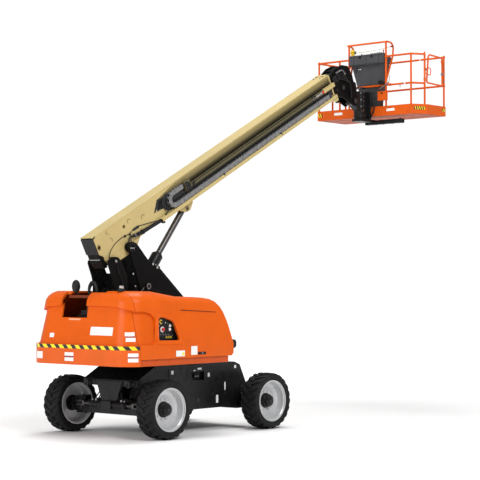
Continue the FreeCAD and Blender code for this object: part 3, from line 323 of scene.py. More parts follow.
# ---------------------------------------------------------------- mesh building
class Build:
    """Gathers faces with their materials, in the row frame."""

    def __init__(self, tf=M):
        self.v, self.f, self.m, self.mats, self.tf = [], [], [], [], tf

    def add(self, verts, faces, mat, raw=False):
        if mat not in self.mats:
            self.mats.append(mat)
        k = self.mats.index(mat)
        n = len(self.v)
        self.v += [tuple(v) if raw else tuple(self.tf(*v)) for v in verts]
        self.f += [tuple(n + i for i in f) for f in faces]
        self.m += [k] * len(faces)

    def box(self, x0, x1, y0, y1, z0, z1, mat):
        v = [(x, y, z) for x in (x0, x1) for y in (y0, y1) for z in (z0, z1)]
        self.add(v, [(0, 1, 3, 2), (4, 6, 7, 5), (0, 4, 5, 1), (2, 3, 7, 6), (0, 2, 6, 4), (1, 5, 7, 3)], mat)

    def prism(self, pts, plane, h0, h1, mat):
        """Polygon in xz (h = y), xy (h = z) or yz (h = x) of this frame."""
        def P(p, h):
            return {"xz": (p[0], h, p[1]), "xy": (p[0], p[1], h), "yz": (h, p[0], p[1])}[plane]
        n = len(pts)
        v = [P(p, h0) for p in pts] + [P(p, h1) for p in pts]
        f = [tuple(range(n)), tuple(range(2 * n - 1, n - 1, -1))]
        f += [(i, i + n, (i + 1) % n + n, (i + 1) % n) for i in range(n)]
        self.add(v, f, mat)

    def cyl(self, p0, p1, r, mat, r1=None, n=24, caps=True, inner=None):
        a, b = self.tf(*p0), self.tf(*p1)
        d = (b - a).normalized()
        s = d.orthogonal().normalized()
        t = d.cross(s)
        r1 = r if r1 is None else r1
        ring = lambda c, rad: [c + (s * math.cos(2 * math.pi * i / n) + t * math.sin(2 * math.pi * i / n)) * rad for i in range(n)]
        if inner:
            v = ring(a, r) + ring(b, r1) + ring(b, inner) + ring(a, inner)
            f = []
            for k in range(4):
                q = (k + 1) % 4
                f += [(k * n + i, k * n + (i + 1) % n, q * n + (i + 1) % n, q * n + i) for i in range(n)]
        else:
            v = ring(a, r) + ring(b, r1)
            f = [(i, (i + 1) % n, (i + 1) % n + n, i + n) for i in range(n)]
            if caps:
                f += [tuple(range(n - 1, -1, -1)), tuple(range(n, 2 * n))]
        self.add(v, f, mat, raw=True)

    def bolt(self, p, d, r=0.014, h=0.010, mat="zinc", washer=True):
        """Hex head on a washer, standing on p and pointing along d (row frame direction)."""
        a = self.tf(*p)
        d = Vector(d).normalized()
        s = d.orthogonal().normalized()
        t = d.cross(s)

        def ring(c, rad, n, off=0.0):
            return [c + (s * math.cos(2 * math.pi * (i + off) / n) + t * math.sin(2 * math.pi * (i + off) / n)) * rad for i in range(n)]
        z = 0.0
        if washer:
            v = ring(a, r * 1.45, 16) + ring(a + d * h * 0.25, r * 1.4, 16)
            self.add(v, [(i, (i + 1) % 16, (i + 1) % 16 + 16, i + 16) for i in range(16)] + [tuple(range(16, 32))], mat, raw=True)
            z = h * 0.2
        v = ring(a + d * z, r, 6) + ring(a + d * (z + h * 0.85), r, 6) + ring(a + d * (z + h), r * 0.86, 6)
        f = [(i, (i + 1) % 6, (i + 1) % 6 + 6, i + 6) for i in range(6)] + [(i + 6, (i + 1) % 6 + 6, (i + 1) % 6 + 12, i + 12) for i in range(6)] + [tuple(range(12, 18))]
        self.add(v, f, mat, raw=True)

    def tube(self, pts, r, mat, n=10, closed=False, sub=0, caps=True, rad=None):
        """Round bar along a smooth line through the points."""
        P = [self.tf(*p) for p in pts]
        if sub:
            Q = []
            m = len(P)
            rng = range(m) if closed else range(m - 1)
            for i in rng:
                p0 = P[(i - 1) % m] if closed or i > 0 else P[0] * 2 - P[1]
                p1, p2 = P[i], P[(i + 1) % m]
                p3 = P[(i + 2) % m] if closed or i < m - 2 else P[-1] * 2 - P[-2]
                for k in range(sub):
                    t = k / sub
                    Q.append(0.5 * ((2 * p1) + (p2 - p0) * t + (2 * p0 - 5 * p1 + 4 * p2 - p3) * t * t + (3 * p1 - p0 - 3 * p2 + p3) * t ** 3))
            if not closed:
                Q.append(P[-1])
            P = Q
        m = len(P)
        d = (P[1] - P[0]).normalized()
        s = d.orthogonal().normalized()
        v = []
        for i in range(m):
            if closed:
                d2 = (P[(i + 1) % m] - P[i - 1]).normalized()
            elif i == 0:
                d2 = d
            elif i == m - 1:
                d2 = (P[i] - P[i - 1]).normalized()
            else:
                d2 = (P[i + 1] - P[i - 1]).normalized()
            s = (s - d2 * s.dot(d2)).normalized()
            t = d2.cross(s)
            rr = rad[i] if rad else r
            v += [P[i] + (s * math.cos(2 * math.pi * k / n) + t * math.sin(2 * math.pi * k / n)) * rr for k in range(n)]
        f = []
        for i in range(m if closed else m - 1):
            j = (i + 1) % m
            f += [(i * n + k, i * n + (k + 1) % n, j * n + (k + 1) % n, j * n + k) for k in range(n)]
        if not closed and caps:
            f += [tuple(range(n - 1, -1, -1)), tuple(range((m - 1) * n, m * n))]
        self.add(v, f, mat, raw=True)

    def rev(self, prof, c, mat, axis="y", n=64, closed=True):
        """Profile of (radius, along) turned about an axis through c."""
        m = len(prof)
        v = []
        for i in range(n):
            a = 2 * math.pi * i / n
            for r, h in prof:
                if axis == "y":
                    v.append((c[0] + r * math.sin(a), h, c[2] + r * math.cos(a)))
                elif axis == "z":
                    v.append((c[0] + r * math.cos(a), c[1] + r * math.sin(a), h))
                else:
                    v.append((h, c[1] + r * math.cos(a), c[2] + r * math.sin(a)))
        f = []
        for i in range(n):
            j = (i + 1) % n
            for k in range(m if closed else m - 1):
                q = (k + 1) % m
                f.append((i * m + k, i * m + q, j * m + q, j * m + k))
        self.add(v, f, mat)

    def ball(self, c, r, mat, n=12, flat=1.0):
        p = self.tf(*c)
        v = []
        for i in range(1, n // 2):
            a = math.pi * i / (n // 2)
            for k in range(n):
                b = 2 * math.pi * k / n
                v.append(p + Vector((math.sin(a) * math.cos(b), math.sin(a) * math.sin(b), math.cos(a) * flat)) * r)
        v += [p + Vector((0, 0, r * flat)), p - Vector((0, 0, r * flat))]
        m = n // 2 - 1
        f = []
        for i in range(m - 1):
            f += [(i * n + k, (i + 1) * n + k, (i + 1) * n + (k + 1) % n, i * n + (k + 1) % n) for k in range(n)]
        f += [(m * n, k, (k + 1) % n) for k in range(n)] + [(m * n + 1, (m - 1) * n + (k + 1) % n, (m - 1) * n + k) for k in range(n)]
        self.add(v, f, mat, raw=True)

    def make(self, name, body, slot=None, bevel=0.0, segs=2, angle=35, fix=True):
        me = bpy.data.meshes.new(name)
        me.from_pydata(self.v, [], self.f)
        for k in self.mats:
            me.materials.append(MATS[k])
        me.polygons.foreach_set("material_index", self.m)
        me.update()
        if fix:
            bm = bmesh.new()
            bm.from_mesh(me)
            bmesh.ops.recalc_face_normals(bm, faces=bm.faces)
            bm.to_mesh(me)
            bm.free()
        return finish(name, me, body, bevel, segs, angle)


def finish(name, me, body, bevel=0.0, segs=2, angle=35):
    me.polygons.foreach_set("use_smooth", [True] * len(me.polygons))
    me.set_sharp_from_angle(angle=math.radians(angle))
    o = bpy.data.objects.new(name, me)
    scene.collection.objects.link(o)
    if bevel > 0:
        b = o.modifiers.new("edges", "BEVEL")
        b.width = bevel
        b.segments = segs
        b.limit_method = "ANGLE"
        b.angle_limit = math.radians(angle)
        b.harden_normals = True
        b.use_clamp_overlap = True
        b.miter_outer = "MITER_ARC"
    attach(o, body)
    return o


NODE_BODY = {n: b for b, ns in frame["record"]["behaviour"]["bodies"].items() for n in ns}


def detail(node, mat, bevel=0.003, segs=2, angle=32, name=None, dissolve=0.6):
    """A finished copy of a CAD node: welded, edges rounded, its own finish."""
    src = frame["nodes"][node]
    me = src.data.copy()
    bm = bmesh.new()
    bm.from_mesh(me)
    bmesh.ops.remove_doubles(bm, verts=bm.verts, dist=1e-5)
    bmesh.ops.dissolve_limit(bm, angle_limit=math.radians(dissolve), verts=bm.verts, edges=bm.edges)
    bm.to_mesh(me)
    bm.free()
    me.materials.clear()
    me.materials.append(MATS[mat])
    me.polygons.foreach_set("material_index", [0] * len(me.polygons))
    o = finish(name or node + "_skin", me, NODE_BODY[node], bevel, segs, angle)
    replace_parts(o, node)
    return o


def tree(*nodes):
    """Surface of these CAD nodes, to lay thin pieces on."""
    v, f = [], []
    for n in nodes:
        me = frame["nodes"][n].data
        k = len(v)
        v += [x.co.copy() for x in me.vertices]
        f += [tuple(k + i for i in p.vertices) for p in me.polygons]
    return BVHTree.FromPolygons(v, f)


def lay(tr, p, d, off):
    """Point where a ray from p along d meets the surface, lifted by off."""
    h = tr.ray_cast(p, d)
    if h[0] is None:
        return None
    n = h[1] if h[1].dot(d) < 0 else -h[1]
    return h[0] + n * off


def patch(b, tr, d, corners, mat, off=0.0015, nu=6, nv=4, tf=M):
    """Thin patch laid on a surface: corners are four points, looked at along d."""
    d = Vector(d).normalized()
    c = [tf(*p) for p in corners]
    top, bot = [], []
    for i in range(nu + 1):
        for j in range(nv + 1):
            u, w = i / nu, j / nv
            p = (c[0] * (1 - u) + c[1] * u) * (1 - w) + (c[3] * (1 - u) + c[2] * u) * w
            q = lay(tr, p - d * 1.5, d, off)
            top.append(q)
    good = [t for t in top if t is not None]
    if not good:
        return False
    for k, t in enumerate(top):
        if t is None:
            top[k] = good[0]
            return False
    f = []
    for i in range(nu):
        for j in range(nv):
            a = i * (nv + 1) + j
            f.append((a, a + nv + 1, a + nv + 2, a + 1))
    b.add(top, f, mat, raw=True)
    return True

# ---------------------------------------------------------------- wheels and tyres
AXLES = {"rear_left": (-1.24, 1), "rear_right": (-1.24, -1), "front_left": (1.24, 1), "front_right": (1.24, -1)}
HZ = 0.470


def tyre(tag):
    x, s = AXLES[tag]
    body = NODE_BODY["tyre_" + tag]
    yc = s * 1.0675
    b = Build()
    half = [(0.331, 0.1310), (0.338, 0.1440), (0.349, 0.1540), (0.353, 0.1600), (0.357, 0.1600), (0.361, 0.1660), (0.376, 0.1715), (0.392, 0.1748), (0.395, 0.1736), (0.399, 0.1752),
            (0.414, 0.1762), (0.4165, 0.1745), (0.421, 0.1752), (0.430, 0.1712), (0.438, 0.1650), (0.443, 0.1500), (0.446, 0.1100), (0.448, 0.0500)]
    prof = [(r, yc + h) for r, h in half] + [(r, yc - h) for r, h in reversed(half)]
    b.rev(prof, (x, yc, HZ), "tyre_rubber", n=84)
    N = 22
    st = [(-0.018, -0.4, 0.016, 0.448, 0.4690), (0.010, 0.8, 0.024, 0.448, 0.4695), (0.045, 2.6, 0.027, 0.447, 0.4692), (0.085, 5.4, 0.0285, 0.446, 0.4680),
          (0.122, 8.6, 0.0300, 0.444, 0.4655), (0.150, 10.8, 0.0315, 0.440, 0.4610)]
    for side in (1, -1):
        for i in range(N):
            p0 = 2 * math.pi * (i + (0.5 if side > 0 else 0.0)) / N
            rows = []
            for yy, ph, hw, rb, rt in st:
                rows.append((yy, rb, rt, ph, hw, yy))
            v, f = [], []

            def pt(yy, r, ph, off):
                a = p0 + math.radians(ph) + off / r
                return (x + r * math.sin(a), yc + side * yy, HZ + r * math.cos(a))
            for yy, rb, rt, ph, hw, _ in rows:
                v += [pt(yy, rb - 0.004, ph, -hw - 0.004), pt(yy, rt, ph, -hw), pt(yy, rt, ph, hw), pt(yy, rb - 0.004, ph, hw + 0.005)]
            # shoulder: down the side of the casing
            v += [pt(0.158, 0.420, 11.6, -0.036), pt(0.1690, 0.4470, 11.6, -0.031), pt(0.1690, 0.4470, 11.6, 0.031), pt(0.158, 0.420, 11.6, 0.036)]
            v += [pt(0.160, 0.405, 12.3, -0.026), pt(0.1768, 0.4180, 12.3, -0.022), pt(0.1768, 0.4180, 12.3, 0.022), pt(0.160, 0.405, 12.3, 0.026)]
            m = len(v) // 4
            for k in range(m - 1):
                a, c = k * 4, (k + 1) * 4
                for q in range(3):
                    f.append((a + q, a + q + 1, c + q + 1, c + q))
                f.append((a + 3, a, c, c + 3))
            f += [(0, 1, 2, 3), ((m - 1) * 4 + 3, (m - 1) * 4 + 2, (m - 1) * 4 + 1, (m - 1) * 4)]
            b.add(v, f, "tyre_rubber")
    o = b.make("tyre_%s_tread" % tag, body, "tyre", bevel=0.0035, segs=2, angle=38)
    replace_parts(o, "tyre_" + tag)


def wheel(tag):
    x, s = AXLES[tag]
    body = NODE_BODY["wheel_" + tag]
    Y = lambda d: s * (1.245 - d)
    b = Build()
    prof = [(0.3445, 0.020), (0.3435, 0.0175), (0.338, 0.0175), (0.330, 0.0190), (0.3275, 0.024), (0.3265, 0.034), (0.3170, 0.044), (0.3120, 0.048), (0.3105, 0.056), (0.3125, 0.062), (0.3135, 0.070),
            (0.3125, 0.110), (0.3060, 0.120), (0.3035, 0.128), (0.3030, 0.140), (0.2960, 0.158), (0.2700, 0.172), (0.2400, 0.181), (0.2180, 0.183), (0.2120, 0.180), (0.1300, 0.1795), (0.1050, 0.180),
            (0.1050, 0.1955), (0.2300, 0.1955), (0.2480, 0.194), (0.3055, 0.213), (0.3055, 0.337), (0.312, 0.342), (0.329, 0.3552), (0.3440, 0.3552), (0.3445, 0.352), (0.3445, 0.342), (0.3280, 0.333), (0.3215, 0.326), (0.3215, 0.162), (0.3215, 0.046), (0.3300, 0.038), (0.3445, 0.033)]
    b.rev([(r, Y(d)) for r, d in prof], (x, 0, HZ), "rim_silver", n=96)
    o = b.make("rim_" + tag, body, "silver_paint", bevel=0.0)
    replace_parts(o, "wheel_" + tag)
    # hub, studs and nuts, valve
    h = Build()
    hp = [(0.0, 0.0625), (0.052, 0.0625), (0.058, 0.066), (0.060, 0.074), (0.086, 0.076), (0.092, 0.080), (0.0935, 0.090), (0.0935, 0.120), (0.108, 0.124), (0.1125, 0.129), (0.1125, 0.160), (0.125, 0.165), (0.1275, 0.170), (0.1275, 0.2345), (0.10, 0.2345), (0.0, 0.2345)]
    h.rev([(max(r, 0.0005), Y(d)) for r, d in hp], (x, 0, HZ), "black_gloss", n=72)
    for i in range(10):
        a = 2 * math.pi * (i + 0.5) / 10
        px, pz = x + 0.158 * math.sin(a), HZ + 0.158 * math.cos(a)
        h.bolt((px, Y(0.1795), pz), (0, s, 0), r=0.0150, h=0.014, mat="rim_silver")
    for i in range(12):
        a = 2 * math.pi * i / 12
        h.bolt((x + 0.102 * math.sin(a), Y(0.123), HZ + 0.102 * math.cos(a)), (0, s, 0), r=0.0062, h=0.006, mat="steel_dark")
    for i in range(6):
        a = 2 * math.pi * (i + 0.5) / 6
        h.bolt((x + 0.074 * math.sin(a), Y(0.0755), HZ + 0.074 * math.cos(a)), (0, s, 0), r=0.0060, h=0.005, mat="steel_dark")
    h.bolt((x, Y(0.0625), HZ), (0, s, 0), r=0.016, h=0.0015, mat="steel_dark", washer=False)
    h.tube([(x + 0.20, Y(0.184), HZ + 0.19), (x + 0.205, Y(0.170), HZ + 0.195), (x + 0.213, Y(0.150), HZ + 0.203)], 0.0045, "black_plastic", n=8, sub=3)
    # rim's back face: brake or motor housing seen through the dish from behind
    h.cyl((x, Y(0.2345), HZ), (x, Y(0.243), HZ), 0.118, "black_satin", n=48)
    h.make("hub_" + tag, body, "black_paint", bevel=0.0015, segs=1, angle=40)


for t in AXLES:
    tyre(t)
    wheel(t)

# ---------------------------------------------------------------- chassis, axles, steering
detail("chassis_frame", "black_gloss", 0.006)
detail("slew_ring", "steel_dark", 0.002)
detail("steer_axle", "black_gloss", 0.005)
detail("drive_axle", "black_gloss", 0.005)
detail("steer_cylinder", "black_gloss", 0.003)
detail("steer_rod", "chrome_rod", 0.002)
detail("steer_knuckle_left", "black_gloss", 0.004)
detail("steer_knuckle_right", "black_gloss", 0.004)

c = Build()
# bolts round the slew ring
for i in range(36):
    a = 2 * math.pi * i / 36
    c.bolt((0.476 * math.cos(a), 0.476 * math.sin(a), 1.1575), (0, 0, 1), r=0.0105, h=0.006, mat="zinc")
T_CH = tree("chassis_frame")
for s in (-1, 1):
    # weld seam and stiffener bands on the side plates, cover plates with their bolts
    yo = s * 0.620
    y1 = s * 0.6265
    c.prism([(-0.955, 1.095), (0.950, 1.095), (0.950, 1.072), (-0.955, 1.072)], "xz", yo, s * 0.6245, "black_gloss")
    c.prism([(-0.66, 0.400), (0.60, 0.400), (1.0, 0.358), (1.0, 0.336), (0.6, 0.378), (-0.66, 0.378)], "xz", yo, s * 0.6245, "black_gloss")
    for x, z in ((-0.62, 1.03), (-0.62, 0.72), (-0.62, 0.45), (-0.30, 0.45), (-0.30, 0.72), (-0.30, 1.03)):
        c.bolt((x, s * 0.6262, z), (0, s, 0), r=0.011, h=0.007, mat="steel_dark")
    c.prism([(-0.66, 1.06), (-0.26, 1.06), (-0.26, 0.42), (-0.66, 0.42)], "xz", yo, y1, "black_gloss")
    # drain and access holes with rims, and black discs as painted shade for their insides
    for x, z, r in ((0.42, 0.62, 0.026), (0.72, 0.62, 0.026), (0.05, 0.52, 0.034)):
        c.cyl((x, yo, z), (x, s * 0.6235, z), r + 0.010, "black_gloss", n=28, inner=r)
        c.cyl((x, yo, z), (x, s * 0.6205, z), r, "hazard_black_and_shade", n=28)
    # pocket: valve block, couplings and its lip
    ys = s * 0.552
    c.prism([(-0.118, 0.975), (0.178, 0.975), (0.178, 0.862), (-0.058, 0.862)], "xz", ys, s * 0.556, "black_satin")
    c.box(-0.02, 0.10, min(ys, s * 0.585), max(ys, s * 0.585), 0.885, 0.945, "black_satin")
    for k in range(3):
        c.cyl((0.0 + 0.035 * k, s * 0.585, 0.915), (0.0 + 0.035 * k, s * 0.603, 0.915), 0.0085, "zinc", n=12)
    for x0, x1, z0, z1 in ((-0.146, 0.206, 0.987, 0.996), (0.1925, 0.203, 0.84, 0.99)):
        c.box(x0, x1, min(yo, s * 0.6235), max(yo, s * 0.6235), z0, z1, "black_gloss")
    # brackets of the front cross member
    c.box(1.10, 1.19, min(s * 0.62, s * 0.63), max(s * 0.62, s * 0.63), 0.60, 0.72, "black_gloss")
    for x in (1.12, 1.17):
        for z in (0.63, 0.69):
            c.bolt((x, s * 0.63, z), (0, s, 0), r=0.010, h=0.007, mat="steel_dark")
    # tie-down lug gussets
    for y in (s * 0.48 - 0.050, s * 0.48 + 0.042):
        c.prism([(1.388, 0.478), (1.44, 0.478), (1.44, 0.43)], "xz", y, y + 0.008, "black_gloss")
# labels, all blank
L_SIDE = [(-0.575, 0.985, 0.055, 0.065), (0.36, 0.915, 0.050, 0.070), (0.335, 1.035, 0.0, 0.0)]
for x, z, w, h in ((-0.575, 1.00, 0.055, 0.060), (0.305, 0.925, 0.048, 0.065), (0.97, 1.035, 0.050, 0.050), (0.515, 0.515, 0.055, 0.130), (0.71, 0.72, 0.030, 0.130)):
    for s in (-1, 1):
        c.box(x - w / 2, x + w / 2, min(s * 0.62, s * 0.6275 if x < -0.2 else s * 0.6215), max(s * 0.62, s * 0.6275 if x < -0.2 else s * 0.6215), z - h / 2, z + h / 2, "label_white")
for s in (-1, 1):
    c.box(0.03, 0.13, min(s * 0.62, s * 0.6215), max(s * 0.62, s * 0.6215), 1.02, 1.05, "label_white")
    c.box(-0.06, -0.02, min(s * 0.62, s * 0.6215), max(s * 0.62, s * 0.6215), 1.00, 1.02, "label_white")
# rear of the chassis: cover panel on the centre box, with ribs and fasteners, hydraulic lines to the axle
c.prism([(-0.50, 0.53), (0.50, 0.53), (0.50, 0.41), (-0.50, 0.41)], "yz", -0.7005, -0.7065, "black_gloss")
xr = -0.845
for y in (-0.40, 0.40):
    c.tube([(-1.05, y, 0.905), (-1.09, y, 0.82), (-1.10, y * 0.9, 0.72), (-1.125, y * 0.75, 0.62)], 0.011, "rubber_hose", sub=6)
for k, y in enumerate((-0.16, -0.12, 0.12, 0.16)):
    c.tube([(-1.18, y, 0.875), (-1.22 - 0.02 * k, y * 1.2, 0.80), (-1.345, y * 1.5, 0.72), (-1.395, y * 1.8, 0.62), (-1.40, y * 2.1, 0.557)], 0.0095, "rubber_hose", sub=6)
# closing plates of the rear end
for y0, y1 in ((-0.575, -0.335), (-0.30, 0.30), (0.335, 0.575)):
    c.box(-1.3755, -1.370, y0, y1, 0.812, 0.888, "black_gloss")
    for y in (y0 + 0.03, y1 - 0.03):
        c.bolt((-1.3755, y, 0.850), (-1, 0, 0), r=0.010, h=0.006, mat="steel_dark")
for s in (-1, 1):
    # inner arch panels between the hangers, with a round opening and a filter behind
    c.prism([(s * 0.33, 0.875), (s * 0.585, 0.875), (s * 0.585, 0.60), (s * 0.33, 0.60)], "yz", -0.868, -0.862, "black_gloss")
    c.cyl((-0.868, s * 0.46, 0.74), (-0.905, s * 0.46, 0.74), 0.062, "black_satin", n=32)
    c.cyl((-0.905, s * 0.46, 0.74), (-0.914, s * 0.46, 0.74), 0.045, "steel_dark", n=32)
    for y in (s * 0.36, s * 0.555):
        for z in (0.63, 0.845):
            c.bolt((-0.868, y, z), (-1, 0, 0), r=0.009, h=0.006, mat="steel_dark")
    # vertical strut
    c.cyl((-0.93, s * 0.30, 0.55), (-0.93, s * 0.30, 0.88), 0.017, "black_gloss", n=20)
c.box(-1.378, -1.3752, -0.07, 0.05, 0.832, 0.866, "label_grey")
c.make("chassis_details", "chassis", "black_paint", bevel=0.0012, segs=1, angle=40)

a = Build()
AX = -1.24
# steered axle: flange plates, grease points, cylinder glands, hose fittings
for s in (-1, 1):
    a.cyl((-1.40, s * 0.330, 0.50), (-1.40, s * 0.400, 0.50), 0.0600, "black_gloss", n=40)
    a.cyl((-1.40, s * 0.400, 0.50), (-1.40, s * 0.412, 0.50), 0.040, "steel_dark", n=32, inner=0.0262)
    a.cyl((-1.40, s * 0.125, 0.50), (-1.40, s * 0.140, 0.50), 0.059, "black_gloss", n=40)
    a.cyl((-1.40, s * 0.235, 0.50), (-1.40, s * 0.250, 0.50), 0.0585, "black_gloss", n=40)
    a.cyl((-1.40, s * 0.290, 0.55), (-1.40, s * 0.290, 0.585), 0.014, "zinc", n=16)
    a.cyl((-1.40, s * 0.365, 0.555), (-1.40, s * 0.365, 0.575), 0.017, "zinc", n=6)
    a.prism([(AX - 0.093, 0.610), (AX + 0.093, 0.610), (AX + 0.093, 0.618), (AX - 0.093, 0.618)], "xz", s * 0.665, s * 0.700, "black_gloss")
    for x in (AX - 0.075, AX + 0.075):
        for y in (0.20, 0.35, 0.50):
            a.bolt((x, s * y, 0.5405), (0, 0, 1), r=0.010, h=0.008, mat="steel_dark")
    for z in (0.375, 0.44):
        a.bolt((AX - 0.095, s * 0.62, z), (-1, 0, 0), r=0.0105, h=0.008, mat="steel_dark")
    a.prism([(AX - 0.080, 0.544), (AX + 0.080, 0.544), (AX + 0.080, 0.556), (AX - 0.080, 0.556)], "xz", s * 0.13, s * 0.545, "black_gloss")
a.box(AX - 0.0985, AX - 0.095, -0.55, -0.14, 0.37, 0.385, "black_gloss")
a.box(AX - 0.0985, AX - 0.095, 0.14, 0.55, 0.37, 0.385, "black_gloss")
a.cyl((AX - 0.118, 0, 0.655), (AX - 0.062, 0, 0.655), 0.048, "steel_dark", n=32)
for k in range(4):
    an = math.pi / 4 + k * math.pi / 2
    a.bolt((AX - 0.118, 0.034 * math.cos(an), 0.655 + 0.034 * math.sin(an)), (-1, 0, 0), r=0.006, h=0.005, mat="zinc")
a.make("steer_axle_details", "chassis", "black_paint", bevel=0.0012, segs=1, angle=40)
for s, nm in ((1, "left"), (-1, "right")):
    k = Build()
    k.cyl((AX, s * 0.79, 0.610), (AX, s * 0.79, 0.624), 0.040, "steel_dark", n=32)
    k.bolt((AX, s * 0.79, 0.624), (0, 0, 1), r=0.015, h=0.009, mat="zinc")
    for i in range(8):
        an = 2 * math.pi * (i + 0.5) / 8
        k.bolt((AX + 0.103 * math.cos(an), s * 0.890, HZ + 0.103 * math.sin(an)), (0, -s, 0), r=0.0085, h=0.007, mat="steel_dark")
    k.cyl((-1.395, s * 0.70, 0.4825), (-1.395, s * 0.70, 0.5175), 0.030, "black_gloss", n=28)
    k.make("knuckle_details_" + nm, "knuckle_" + nm, "black_paint", bevel=0.001, segs=1, angle=40)
d = Build()
for s in (-1, 1):
    for i in range(10):
        an = 2 * math.pi * i / 10
        d.bolt((1.24 + 0.128 * math.cos(an), s * 0.860, HZ + 0.128 * math.sin(an)), (0, s, 0), r=0.0105, h=0.008, mat="steel_dark")
    d.cyl((1.24, s * 0.690, HZ), (1.24, s * 0.712, HZ), 0.165, "black_gloss", n=48)
    for y in (0.64, 0.74):
        pass
d.cyl((1.34, 0.0, HZ), (1.372, 0.0, HZ), 0.075, "black_gloss", n=40)
d.cyl((1.372, 0.0, HZ), (1.384, 0.0, HZ), 0.055, "steel_dark", n=40)
d.make("drive_axle_details", "chassis", "black_paint", bevel=0.001, segs=1, angle=40)

# ---------------------------------------------------------------- turntable
tf_ = detail("turntable_frame", "black_satin", 0.003)
# the skirt under the hoods takes a darker copy of the hoods' orange: painted shade below them
tf_.data.materials.append(MATS["orange_skirt_shaded"])
for pl in tf_.data.polygons:
    c_ = pl.center
    if c_.z > 1.12 and (abs(c_.y) > 1.150 or c_.x + X0 > 0.195 or c_.x + X0 < -1.825) and c_.z < 1.27:
        pl.material_index = 1
detail("boom_uprights", "black_deep", 0.005)
detail("rear_posts", "black_deep", 0.005)
detail("cylinder_cradle", "black_gloss", 0.004)
detail("counterweight", "orange_cast", 0.012, segs=3, angle=40)
detail("rear_cover", "orange_gloss", 0.006, segs=3, angle=30)
detail("hood_right", "orange_gloss", 0.006, segs=3, angle=30)
detail("hood_left", "orange_gloss", 0.006, segs=3, angle=30)
detail("hood_bumper_right", "black_plastic", 0.008, segs=3)
detail("hood_bumper_left", "black_plastic", 0.008, segs=3)
detail("engine_block", "engine_iron", 0.010)
detail("ground_controls", "black_plastic", 0.003)

T_REAR = tree("rear_cover", "counterweight")
T_CW = tree("counterweight")
T_RC = tree("rear_cover")
T_HR = tree("hood_right")
T_HL = tree("hood_left")


def ring_stripe(b, tr, z0, z1, n_bars, slant, lo, hi, off=0.0007):
    """Black and yellow bars round the counterweight's rear and corners, just below the shoulder, between two points of the path."""
    R, X, Y = 0.40, -2.10, 1.20
    run = [(-1.80, -1.187)]
    run += [(X + R - R * math.sin(t), -(Y - R) - R * math.cos(t)) for t in [math.pi / 2 * (i / 40) for i in range(7, 41)]]
    run += [(X, Y - R)]
    run += [(X + R - R * math.cos(t), (Y - R) + R * math.sin(t)) for t in [math.pi / 2 * (i / 40) for i in range(1, 34)]]
    run += [(-1.80, 1.187)]
    L = [0.0]
    for p, q in zip(run, run[1:]):
        L.append(L[-1] + math.hypot(q[0] - p[0], q[1] - p[1]))

    def at(s):
        s = max(0.0, min(L[-1], s))
        for i in range(len(L) - 1):
            if s <= L[i + 1] or i == len(L) - 2:
                t = (s - L[i]) / max(1e-9, L[i + 1] - L[i])
                x = run[i][0] * (1 - t) + run[i + 1][0] * t
                y = run[i][1] * (1 - t) + run[i + 1][1] * t
                dx, dy = run[i + 1][0] - run[i][0], run[i + 1][1] - run[i][1]
                l = math.hypot(dx, dy)
                return x, y, -dy / l, dx / l
    total = L[-1]
    w = total / n_bars
    s0, s1 = total * 0 + lo, total - hi

    def spot(s_, z, o):
        x, y, nx, ny = at(s_)
        q = lay(tr, M(x, y, z) + Vector((nx, ny, 0)) * 0.6, Vector((-nx, -ny, 0)), o)
        return q if q is not None else M(x + nx * o, y + ny * o, z)
    for k in range(-1, n_bars + 1):
        for a0, mat in ((0.0, "hazard_black_and_shade"), (0.5, "hazard_yellow")):
            top, m, rows = [], 8, 5
            for i in range(m + 1):
                for j in range(rows):
                    s_ = max(s0, min(s1, k * w + w * (a0 + 0.5 * i / m) + slant * j / (rows - 1)))
                    top.append(spot(s_, z0 + (z1 - z0) * j / (rows - 1), off))
            if max((top[j] - top[m * rows + j]).length for j in range(rows)) < 1e-3:
                continue
            b.add(top, [(i * rows + j, (i + 1) * rows + j, (i + 1) * rows + j + 1, i * rows + j + 1) for i in range(m) for j in range(rows - 1)], mat, raw=True)


# slanted ribs on the skirt
sk = Build()
for sgn in (-1, 1):
    for x in (-1.520, -1.205):
        sk.prism([(x - 0.012, 1.196), (x + 0.004, 1.196), (x + 0.050, 1.262), (x + 0.034, 1.262)], "xz", sgn * 1.1702, sgn * 1.1770, "orange_gloss")
sk.make("skirt_ribs", "turntable", "cast_orange", bevel=0.002, segs=2, angle=40)

st = Build()
ring_stripe(st, T_CW, 1.420, 1.4785, 14, 0.055, 0.062, 0.062)
st.make("hazard_stripe", "turntable", "cast_orange", fix=True)


def label(b, tr, d, c, w, h, mat="label_white", off=0.0016, axis=None, border=None, nu=6, nv=3):
    """Blank rectangle centred on c, w wide and h high, laid on the surface along d."""
    d = Vector(d).normalized()
    side = Vector((0, 0, 1)).cross(d).normalized()
    up = Vector((0, 0, 1))
    p = M(*c)
    inv = lambda q: (q.x + X0, q.y, q.z)
    cs = [inv(p - side * w / 2 - up * h / 2), inv(p + side * w / 2 - up * h / 2), inv(p + side * w / 2 + up * h / 2), inv(p - side * w / 2 + up * h / 2)]
    if border:
        g = 0.004
        cb = [inv(p - side * (w / 2 + g) - up * (h / 2 + g)), inv(p + side * (w / 2 + g) - up * (h / 2 + g)), inv(p + side * (w / 2 + g) + up * (h / 2 + g)), inv(p - side * (w / 2 + g) + up * (h / 2 + g))]
        patch(b, tr, d, cb, border, off * 0.6, nu, nv)
    return patch(b, tr, d, cs, mat, off, nu, nv)


REAR, RIGHT, LEFT, CORN = (1, 0, 0), (0, 1, 0), (0, -1, 0), (1, 1, 0)
lb = Build()
